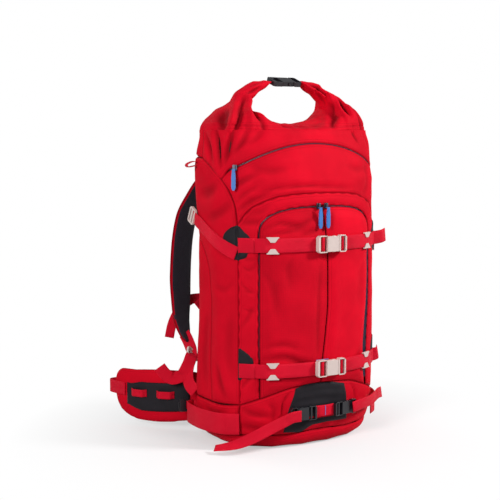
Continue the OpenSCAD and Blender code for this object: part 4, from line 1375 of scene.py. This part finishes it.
class BACKPACK_OT_carry_strap(bpy.types.Operator):
    """The carry strap on the bottom panel with its long free tail, and the bar tacks"""

    bl_idname = "backpack.carry_strap"
    bl_label = "Carry strap"

    def execute(self, context):
        def bed(x):
            return float(skin().reach(x, CARRY_Z, CARRY_OFF, 25))
        line = [(x, bed(x) - 4.6 - 2.4 * (1 - abs(x - 1) / 22), CARRY_Z + 0.5)
                for x in (-20, -14, -7, 1, 9, 16, 22)]
        bridge = webbing("carry_bridge_webbing", line, (0, -1, 0), 20, step=2.5)
        settle(bridge, "pack", "red_fabric", strap_cloth(), "carry_bridge")
        tails = (("left", [(-54, -128.6, 64.5), (-60, -128.0, 64.5), (-68, -127, 64), (-86, -122, 57),
                           (-112, -112, 44), (-142, -96, 27), (-166, -79, 16), (-189, -58, 9.6)],
                  [(0.06, -1, 0), (0.06, -1, 0), (0.1, -1, 0.05), (-0.25, -1, 0.12), (-0.35, -0.95, 0.25),
                   (-0.3, -0.8, 0.5), (-0.2, -0.5, 0.8), (-0.1, -0.3, 1)]),
                 ("right", [(58, -128.0, 66), (68, -126, 67), (90, -119, 68), (118, -104, 68),
                            (150, -80, 70), (176, -58, 66)],
                  [(0.1, -1, 0), (0.15, -1, 0), (0.3, -1, 0), (0.45, -0.9, 0), (0.5, -0.9, 0.1),
                   (0.5, -0.9, 0.2)]))
        for word, path, facing in tails:
            tail = webbing(f"carry_tail_{word}", path, facing, 20, step=3)
            settle(tail, f"carry_{word}", "red_fabric", strap_cloth(0.97), f"carry_web_{word}")
        tacks = []
        y = float(skin().front_y(-8, 160, 6.2))
        for i in range(9):
            x = -20 + i * 3.0
            tacks.append(cube_block("tack", (x, y - 1.0, 158.6), (x + 2.6, y + 0.6, 159.8), 0.3))
        y = line[3][1] - 0.8
        for i in range(8):
            z = CARRY_Z - 8 + i * 2.2
            tacks.append(cube_block("tack", (0.4, y - 0.5, z), (1.6, y + 0.4, z + 1.8), 0.25))
        settle(joined("bar_tacks", tacks), "pack", "blue_cord",
               material("blue_thread", moulded, colours().blue, 0.5, 0.3))
        return {"FINISHED"}


STRAP_PATH = [(-52, 94, 452), (-56, 122, 478), (-70, 158, 474), (-92, 181, 438), (-113, 187, 398),
              (-125, 185, 340),
              (-129, 184, 285), (-131, 179, 238), (-136, 168, 200), (-139, 150, 176), (-137, 134, 161)]
STRAP_WIDE = [0.86, 0.95, 1, 1, 1, 1, 1, 0.95, 0.8, 0.56, 0.38]
STRAP_TURN = [0, 4, 12, 20, 25, 25, 25, 27, 30, 36, 40]
STRAP_HALF = 33.0
STRAP_PAD = 6.0


def finish_by_side(piece, outer, inner, facing):
    """Gives the faces that look along facing the outer finish, and the rest the inner one."""
    piece.data.materials.clear()
    piece.data.materials.append(outer)
    piece.data.materials.append(inner)
    for face in piece.data.polygons:
        face.material_index = 0 if facing(np.array(face.center) / MM, np.array(face.normal)) else 1


class BACKPACK_OT_harness(bpy.types.Operator):
    """Padded shoulder straps with their webbing, and the pads on the bag's back"""

    bl_idname = "backpack.harness"
    bl_label = "Shoulder harness"

    def execute(self, context):
        turn = full_turn(32)
        shape = np.stack([boxy(np.cos(turn), 0.75), boxy(np.sin(turn), 0.75)], 1)
        for side, word in SIDES:
            raw = np.array([(-side * p[0], p[1], p[2], w, t)
                            for p, w, t in zip(STRAP_PATH, STRAP_WIDE, STRAP_TURN)], float)
            s = smooth_line(raw, 74)
            centre, wide, tilt = s[:, :3], s[:, 3] * STRAP_HALF, np.radians(s[:, 4])
            t = unit(np.gradient(centre, axis=0))
            across = np.stack([-side * np.cos(tilt), np.sin(tilt), 0 * tilt], 1)
            n = unit(np.cross(t, across))
            b = np.cross(n, t)
            share = np.linspace(0, 1, len(s))
            quilt = 1 - 0.16 * np.exp(-((share * 9) % 1 - 0.5) ** 2 / 0.012) * (share > 0.12)
            rings, flat, seam = [], [], []
            run = run_along(centre)
            for i in range(len(s)):
                ends = math.sqrt(max(0.05, 1 - abs(2 * share[i] - 1) ** 16))
                rim = np.where(np.abs(shape[:, 0]) > 0.88, 0.62, 1.0)
                h = STRAP_PAD * (shape[:, 1] * (0.86 - 0.20 * shape[:, 0] ** 6) * ends) * quilt[i]
                spot = centre[i] + np.outer(shape[:, 0] * wide[i], b[i])
                rings.append(spot + np.outer(h * rim / 0.9, n[i]))
                flat.append(np.stack([shape[:, 0] * wide[i] + 200 * (shape[:, 1] > 0),
                                      np.full(len(shape), run[i])], 1))
                seam.append((1 - np.abs(shape[:, 0])) * wide[i])
            strap = lofted(f"shoulder_pad_{word}", rings, flat, np.concatenate(seam))
            here = centre

            def outside(p, normal, here=here, n=n, b=b, wide=wide):
                k = int(((here - p) ** 2).sum(1).argmin())
                off = p - here[k]
                edge = abs(off @ b[k]) > wide[k] * 0.90
                return edge or normal @ n[k] * (1 if n[k][1] > 0 else -1) > 0.25
            finish_by_side(strap, fabric(0.9), mesh_cloth(), outside)
            rounded(strap)
            settle(strap, "harness", "mesh_foam", None, f"shoulder_strap_{word}")

        straps = []
        for side in (-1, 1):
            run = [(side * 139, 150, 176), (side * 138, 138, 165), (side * 139, 124, 153),
                   (side * 144, 110, 143), (side * 153, 101, 130),
                   (side * 162, 92, 110), (side * 166, 78, 94), (side * 165, 58, 84)]
            straps.append(webbing("foot_run", run, (side * 0.75, -0.35, 0.35), 24))
            tail = [(side * 144, 107, 145), (side * 150, 99, 143), (side * 160, 95, 127),
                    (side * 173, 96, 108),
                    (side * 189, 101, 103), (side * 203, 106, 113), (side * 212, 110, 126)]
            straps.append(webbing("foot_tail", tail, (side * 0.5, -0.85, 0.1), 23))
        span = ("pack", "harness", (0.0, 0.111, 0.143), (0.0, 0.130, 0.158))
        settle(joined("lower_harness_webbing", straps), span, "red_fabric",
               strap_cloth(), "lower_webbing")
        lifters = [webbing("lifter", [(side * 68, 152, 484), (side * 62, 132, 497), (side * 57, 105, 508),
                                      (side * 54, 78, 520)],
                           (0, 0.5, 0.85), 18) for side in (-1, 1)]
        span = ("harness", "pack", (0.0, 0.150, 0.486), (0.0, 0.080, 0.519))
        settle(joined("lifter_webbing", lifters), span, "red_fabric",
               strap_cloth(), "load_lifters")

        y, z = 197.0, 233.0
        left = webbing("sternum_left", [(-100, y + 1, z), (-90, y + 4.2, z), (-40, y + 4.6, z),
                                        (-20, y + 4.4, z)], (0, 1, 0), 20)
        turn, turned = loop_through(-18.4 * 0.8, 0, z, 1.6, -1)
        turn[:, 1] = y - turn[:, 1] * 0.8
        turned[:, 1] *= -1
        bit = webbing("sternum_turn", turn[2:], turned[2:], 20, 1.2, 1.6)
        slack = webbing("sternum_tail", [(-100, y + 1, z - 2), (-112, y + 6, z - 10), (-127, y + 7, z - 27),
                                         (-139, y + 5, z - 48),
                                         (-147, y + 1, z - 72)], (-0.45, -0.85, 0.2), 18)
        hang = webbing("sternum_slack", [(-88, y - 3, z - 3), (-72, y - 12, z - 24), (-54, y - 14, z - 30),
                                         (-36, y - 8, z - 16)],
                       (0, -0.8, 0.6), 18)
        # A darker copy of the webbing: painted shade, as the sternum strap lies in the bag's shadow.
        settle(joined("sternum_webbing_left", [left, bit, slack, hang]), "harness", "red_fabric",
               strap_cloth(0.9), "sternum_web_left")
        right = webbing("sternum_right", [(100, y + 1, z), (90, y + 4.2, z), (50, y + 4.6, z),
                                          (24, y + 4.4, z)], (0, 1, 0), 20)
        turn, turned = loop_through(22.3 * 0.8, 0, z, 1.1, 1)
        turn[:, 1] = y - turn[:, 1] * 0.8
        turned[:, 1] *= -1
        bit = webbing("sternum_turn", turn[2:], turned[2:], 20, 1.2, 1.6)
        # A darker copy of the webbing: painted shade, as the sternum strap lies in the bag's shadow.
        settle(joined("sternum_webbing_right", [right, bit]),
               ("harness", "sternum_clip", (0.091, y * MM, z * MM), (0.03, y * MM, z * MM)),
               "red_fabric", strap_cloth(0.9), "sternum_web_right")
        self.back_pads()
        return {"FINISHED"}

    def back_pads(self):
        """Two long foam pads with an air channel between them."""
        for side, word in SIDES:
            half = 0.18 * sizes().pack_width / MM - 1.5
            centre = side * (14 + 0.18 * sizes().pack_width / MM)
            heights = np.array([0.125, 0.2, 0.3, 0.4, 0.5, 0.6, 0.7, 0.76]) * skin().height
            heights = smooth_line([(z,) for z in heights], 46)[:, 0]
            turn = full_turn(28)
            rings = []
            for i, z in enumerate(heights):
                share = i / (len(heights) - 1)
                end = max(0.12, 1 - abs(2 * share - 1) ** 10) ** 0.5
                base = float(skin().rear(z)) + 2.0
                x = centre + half * end * boxy(np.cos(turn), 0.55)
                y = base + 5.0 + 4.4 * end * boxy(np.sin(turn), 0.5)
                rings.append(np.stack([x, y, np.full(len(turn), z)], 1))
            pad = puffed(lofted(f"back_pad_{word}", rings))
            relax(pad, 2)
            p = places(pad)
            seams = np.array([0.25, 0.36, 0.47, 0.58, 0.68]) * skin().height
            sewn = np.min([np.abs(p[:, 2] - seam) for seam in seams], axis=0)
            back = p[:, 1] > skin().rear(p[:, 2]) + 6
            p[:, 1] -= 3.2 * np.exp(-(sewn / 3.4) ** 2) * back
            move_points(pad, p)
            rounded(pad)
            p = places(pad)
            cloth_places(pad, np.stack([p[:, 0], p[:, 2]], 1))
            settle(pad, "pack", "mesh_foam", mesh_cloth(), *(["back_pads"] if side < 0 else []))


WING_PATH = [(-120, 99, 64), (-156, 113, 64), (-193, 143, 62), (-220, 180, 61), (-236, 214, 66),
             (-242, 237, 72)]
WING_TALL = [0.9, 0.98, 1.04, 1, 0.86, 0.66]
WING_HALF = 50.0
WING_PAD = 7.0


def wing_frame(side, share):
    """Centre, direction out and half height of the hip wing, at shares of its length."""
    s = smooth_line(np.array([(*p, h) for p, h in zip(WING_PATH, WING_TALL)]), share)
    t = unit(np.gradient(s[:, :2], axis=0))
    centre = np.stack([-side * s[:, 0], s[:, 1], s[:, 2]], 1)
    return centre, np.stack([side * t[:, 1], t[:, 0], 0 * t[:, 0]], 1), s[:, 3] * WING_HALF


class BACKPACK_OT_hip_belt(bpy.types.Operator):
    """Padded hip wings with their facings, gear loops and belt webbing"""

    bl_idname = "backpack.hip_belt"
    bl_label = "Hip belt"

    def execute(self, context):
        turn = full_turn(36)
        for side, word in SIDES:
            share = np.linspace(0, 1, 40)
            centre, out, tall = wing_frame(side, share)
            rings = []
            for i in range(len(share)):
                end = max(0.16, 1 - abs(2 * share[i] - 1) ** 14) ** 0.5
                up = tall[i] * end * boxy(np.sin(turn), 0.55)
                thick = (WING_PAD - 1.4) * end * boxy(np.cos(turn), 0.6)
                rings.append(centre[i] + np.outer(thick, out[i]) + np.outer(up, (0, 0, 1)))
            wing = puffed(lofted(f"hip_wing_pad_{word}", rings), cap=1.5)
            relax(wing, 2)
            rounded(wing)
            p = places(wing)
            k = ((centre[None, :, :2] - p[:, None, :2]) ** 2).sum(2).argmin(1)
            high = tall[k] - np.abs(p[:, 2] - centre[k, 2])
            cloth_places(wing, np.stack([share[k] * 190 + 300 * (((p - centre[k]) * out[k]).sum(1) > 0),
                                         p[:, 2]], 1), np.maximum(high, 0))

            def outside(q, normal, centre=centre, out=out, tall=tall):
                j = int(((centre[:, :2] - q[:2]) ** 2).sum(1).argmin())
                return normal @ out[j] > -0.35 or abs(q[2] - centre[j, 2]) > tall[j] - 6
            finish_by_side(wing, fabric(0.96), mesh_cloth(), outside)
            settle(wing, f"wing_{word}", "red_fabric", None, f"hip_wing_{word}")
            self.facing(side, word)
            self.straps(side, word)
        return {"FINISHED"}

    def facing(self, side, word):
        """The dark facing, a thin curved sheet on the wing's outer face."""
        share = np.linspace(0.16, 0.80, 34)
        every = np.linspace(0, 1, 101)
        centre, out, _ = wing_frame(side, every)
        rows = np.linspace(-1, 1, 15)
        points, flat, seam = [], [], []
        for s in share:
            i = int(round(s * 100))
            half = 0.55 * WING_HALF * (1 - 0.25 * ease((s - 0.62) / 0.18))
            for r in rows:
                edge = min((1 - abs(r)) * half, (s - share[0]) * 190, (share[-1] - s) * 190)
                lift = WING_PAD + 1.0 + 0.8 * float(ease(edge / 2.5))
                points.append(centre[i] + out[i] * lift + np.array((0, 0, r * half - 1)))
                flat.append((s * 190, r * half))
                seam.append(edge)
        piece = new_piece(f"hip_facing_{word}", points, grid_faces(len(share), len(rows)), flat, seam)
        apply(piece, "SOLIDIFY", thickness=1.0 * MM, offset=0.0)
        outward(piece)
        settle(piece, f"wing_{word}", "dark_trim", trim(), f"hip_panel_{word}")

    def straps(self, side, word):
        """Two gear loops and the belt's webbing that turns behind the tip."""
        every = np.linspace(0, 1, 201)
        centre, out, _ = wing_frame(side, every)

        def on(f, lift):
            i = int(round(min(1, f / 5) * 200))
            return centre[i] + out[i] * (WING_PAD + lift)
        straps = []
        for f in (1.5, 2.85):
            line = [on(f + d, h) for d, h in ((0, 2.6), (0.05, 3.2), (0.14, 8.0), (0.43, 9.4), (0.72, 8.0),
                                              (0.81, 3.2), (0.86, 2.6))]
            for q in line:
                q[2] = 67
            face = [out[int(round((f + d) / 5 * 200))] for d in (0, 0.05, 0.14, 0.43, 0.72, 0.81, 0.86)]
            straps.append(webbing("gear_loop", line, face, 14, 1.6, 2.4))
        belt = [on(4.1, 2.6), on(4.5, 2.6), on(4.85, 2.8), np.array((side * 252.6, 243, 0)),
                np.array((side * 248, 251, 0)),
                np.array((side * 236, 252.6, 0)), np.array((side * 223, 249, 0)),
                np.array((side * 213, 239, 0)), np.array((side * 209.5, 226, 0))]
        face = [out[164], out[180], out[194], (side * 0.9, 0.4, 0), (side * 0.6, 0.8, 0),
                (-side * 0.1, 1, 0), (-side * 0.5, 0.85, 0),
                (-side * 0.85, 0.5, 0), (-side * 0.95, 0.3, 0)]
        for q in belt:
            q[2] = 70
        straps.append(webbing("belt", belt, face, 25, THICK, 3))
        settle(joined(f"hip_webbing_{word}", straps), f"wing_{word}", "red_fabric", strap_cloth(),
               f"hip_web_{word}")


class BACKPACK_OT_loops(bpy.types.Operator):
    """Ski loops, small hang loops and the haul loop"""

    bl_idname = "backpack.loops"
    bl_label = "Loops"

    def execute(self, context):
        path = [(-163, 71), (-176, 66.5), (-182.4, 48), (-184.4, 15), (-179.4, -19.5), (-167.6, -47),
                (-152, -61), (-144, -66.5)]
        loops = []
        for side in (-1, 1):
            line = [(-side * x, y, 48) for x, y in path]
            face = [(side * 0.3, 0.9, 0), (side * 0.7, 0.7, 0), (side, 0.2, 0), (side, 0, 0),
                    (side, -0.3, 0), (side * 0.8, -0.6, 0),
                    (side * 0.7, -0.8, 0), (side * 0.6, -0.8, 0)]
            loops.append(webbing("ski_loop", line, face, 38, 1.8))
            tab = [(side * x, y, 56) for x, y in ((150, 67), (160, 71.2), (169, 76.2), (176, 81))]
            loops.append(webbing("hook_tab", tab, (-side * 0.48, 0.87, 0), 15, 1.6))
        settle(joined("ski_loop_webbing", loops), "pack", "red_fabric", strap_cloth(0.98), "ski_loops")
        small = []
        for side in (-1, 1):
            line = [(side * 163, 46, 507), (side * 172, 46, 507.5), (side * 182, 46, 505),
                    (side * 187, 46, 501), (side * 184, 46, 497.6),
                    (side * 174, 46, 499), (side * 163, 46, 501)]
            points = np.array(line, float)
            face = unit(np.cross(np.gradient(points, axis=0), (0, side, 0)))
            small.append(webbing("hang_loop", points, face, 10, 1.3, 2))
        settle(joined("hang_loop_webbing", small), "pack", "red_fabric", strap_cloth(), "hang_loops")
        y = float(skin().rear(532)) + 3.0
        points = np.array([(-29, y, 534), (-29.5, y, 548), (-25, y, 560), (-14, y, 566.6), (0, y, 567.6),
                           (14, y, 566.6), (25, y, 560),
                           (29.5, y, 548), (29, y, 534)])
        haul = webbing("haul_webbing", points, (0, 1, 0), 14, 1.6, 2.5)
        settle(haul, "haul", "red_fabric", strap_cloth(), "haul_loop")
        return {"FINISHED"}


class BACKPACK_OT_fittings(bpy.types.Operator):
    """Rounded edges and finishes for the buckles, keepers, ladder locks, zip sliders and frame"""

    bl_idname = "backpack.fittings"
    bl_label = "Buckles and fittings"

    PALE = ["upper_female", "upper_male", "lower_female", "lower_male", "sternum_female", "sternum_male",
            "hip_female",
            "hip_male", "ladder_locks", "strap_keepers"]
    BLACK = ["roll_female", "roll_male", "carry_females", "carry_male_left", "carry_male_right", "ski_hooks"]
    SLIDERS = ["top_slider", "pocket_slider_left", "pocket_slider_right"]
    PULLERS = ["top_puller", "pocket_puller_left", "pocket_puller_right"]

    def execute(self, context):
        c = colours()
        pale = material("pale_moulding", moulded, c.pale, 0.34, 0.25)
        black = material("black_moulding", moulded, c.black, 0.26, 0.15)
        blue = material("blue_moulding", moulded, c.blue, 0.42, 0.3)
        dark = material("dark_sliders", metal, (0.10, 0.10, 0.13), 0.35)
        groups = ((self.PALE, pale, 0.55), (self.BLACK, black, 0.55), (self.SLIDERS, dark, 0.25),
                  (self.PULLERS, blue, 0.5),
                  (["frame_sheet"], material("frame_plastic", moulded, (0.02, 0.02, 0.022), 0.5, 0.3), 0),
                  (["aluminium_stay"], material("brushed_stay", metal, (0.30, 0.30, 0.32), 0.38), 0))
        for names, finish, edge in groups:
            for name in names:
                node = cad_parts[name]
                node.data.materials.clear()
                node.data.materials.append(finish)
                if edge:
                    node.modifiers.new("Weld", "WELD").merge_threshold = 1e-5
                    bevel = node.modifiers.new("Rounded", "BEVEL")
                    bevel.width = edge * MM
                    bevel.segments = 2
                    bevel.angle_limit = math.radians(35)
                    bevel.harden_normals = False
        return {"FINISHED"}


class BACKPACK_OT_stage(bpy.types.Operator):
    """Pale floor, soft lamps and the camera"""

    bl_idname = "backpack.stage"
    bl_label = "Stage"

    def lamp(self, name, place, aim, power, size):
        data = bpy.data.lights.new(name, "AREA")
        data.shape = "DISK"
        data.size = size
        data.energy = power
        lamp = bpy.data.objects.new(name, data)
        bpy.context.scene.collection.objects.link(lamp)
        lamp.location = place
        lamp.rotation_euler = (Vector(aim) - Vector(place)).to_track_quat("-Z", "Y").to_euler()

    def execute(self, context):
        scene = context.scene
        bpy.ops.object.select_all(action="DESELECT")
        bpy.ops.mesh.primitive_plane_add(size=30)
        floor = context.object
        floor.name = "floor"
        recipe = Recipe(bpy.data.materials.new("pale_floor"))
        spot = recipe.spot()
        far = recipe.node("ShaderNodeVectorMath", {"operation": "LENGTH"}, spot, out=1)
        recipe.set(Base_Color=(0.92, 0.92, 0.93, 1), Roughness=0.9, Specular_IOR_Level=0.1)
        rays = recipe.node("ShaderNodeLightPath")
        seen = recipe.node("ShaderNodeMath", {"operation": "MAXIMUM"}, rays, rays.other(3))
        white = recipe.node("ShaderNodeEmission", None, WHITE, 1.0)
        share = seen * recipe.spread(far, 0.20, 0.52, 0.45, 1.0)
        shaded = Value(recipe, recipe.shader.outputs[0])
        seen_floor = recipe.node("ShaderNodeMixShader", None, share, shaded, white)
        dim = recipe.node("ShaderNodeBsdfDiffuse", None, (0.42, 0.42, 0.43, 1))
        both = recipe.node("ShaderNodeMixShader", None, seen, dim, seen_floor)
        recipe.put(recipe.tree.nodes["Material Output"].inputs[0], both)
        floor.data.materials.append(recipe.holder)

        world = scene.world or bpy.data.worlds.new("studio")
        scene.world = world
        recipe = Recipe(world)
        recipe.tree.nodes.clear()
        plain = recipe.node("ShaderNodeBackground", None, WHITE, 0.30)
        white = recipe.node("ShaderNodeBackground", None, WHITE, 1.0)
        pair = recipe.node("ShaderNodeMixShader", None, recipe.node("ShaderNodeLightPath"), plain, white)
        recipe.node("ShaderNodeOutputWorld", None, pair)

        self.lamp("key", (1.75, -1.6, 1.75), (0, 0, 0.3), 66, 0.5)
        self.lamp("fill", (-2.2, -1.2, 1.2), (0, 0, 0.3), 40, 0.8)
        self.lamp("rear", (-0.6, 2.4, 2.0), (0, 0, 0.3), 14, 1.5)

        target = Vector((-0.076, 0.010, 0.346))
        turn, rise, distance = math.radians(-31), math.radians(6), 2.0
        back = Vector((math.sin(turn) * math.cos(rise), -math.cos(turn) * math.cos(rise), math.sin(rise)))
        camera = bpy.data.objects.new("camera", bpy.data.cameras.new("camera"))
        scene.collection.objects.link(camera)
        camera.location = target + back * distance
        camera.rotation_euler = (-back).to_track_quat("-Z", "Y").to_euler()
        camera.data.lens = 79
        scene.camera = camera
        scene.view_settings.view_transform = "Standard"
        return {"FINISHED"}


class BACKPACK_PT_pieces(bpy.types.Panel):
    """Lists the pieces of the backpack"""

    bl_label = "Ski touring backpack"
    bl_idname = "BACKPACK_PT_pieces"
    bl_space_type = "VIEW_3D"
    bl_region_type = "UI"
    bl_category = "Backpack"

    def draw(self, context):
        for group in (context.scene.backpack_sizes, context.scene.backpack_colours):
            box = self.layout.box()
            for name in group.__annotations__:
                box.prop(group, name)
        for operator in OPERATORS:
            self.layout.operator(operator.bl_idname)


OPERATORS = (
    BACKPACK_OT_stage, BACKPACK_OT_seam_shade_shell, BACKPACK_OT_side_panels, BACKPACK_OT_front_panels,
    BACKPACK_OT_upper_panels,
    BACKPACK_OT_bottom_panels, BACKPACK_OT_collar, BACKPACK_OT_zips, BACKPACK_OT_patches,
    BACKPACK_OT_front_straps,
    BACKPACK_OT_carry_strap, BACKPACK_OT_harness, BACKPACK_OT_hip_belt, BACKPACK_OT_loops,
    BACKPACK_OT_fittings)
CLASSES = (BackpackSizes, BackpackColours, *OPERATORS, BACKPACK_PT_pieces)


def register():
    for item in CLASSES:
        bpy.utils.register_class(item)
    bpy.types.Scene.backpack_sizes = PointerProperty(type=BackpackSizes)
    bpy.types.Scene.backpack_colours = PointerProperty(type=BackpackColours)


def unregister():
    del bpy.types.Scene.backpack_sizes
    del bpy.types.Scene.backpack_colours
    for item in reversed(CLASSES):
        bpy.utils.unregister_class(item)


def main():
    register()
    for operator in OPERATORS:
        getattr(bpy.ops.backpack, operator.bl_idname.split(".")[1])()
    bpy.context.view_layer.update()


if __name__ == "__main__":
    main()
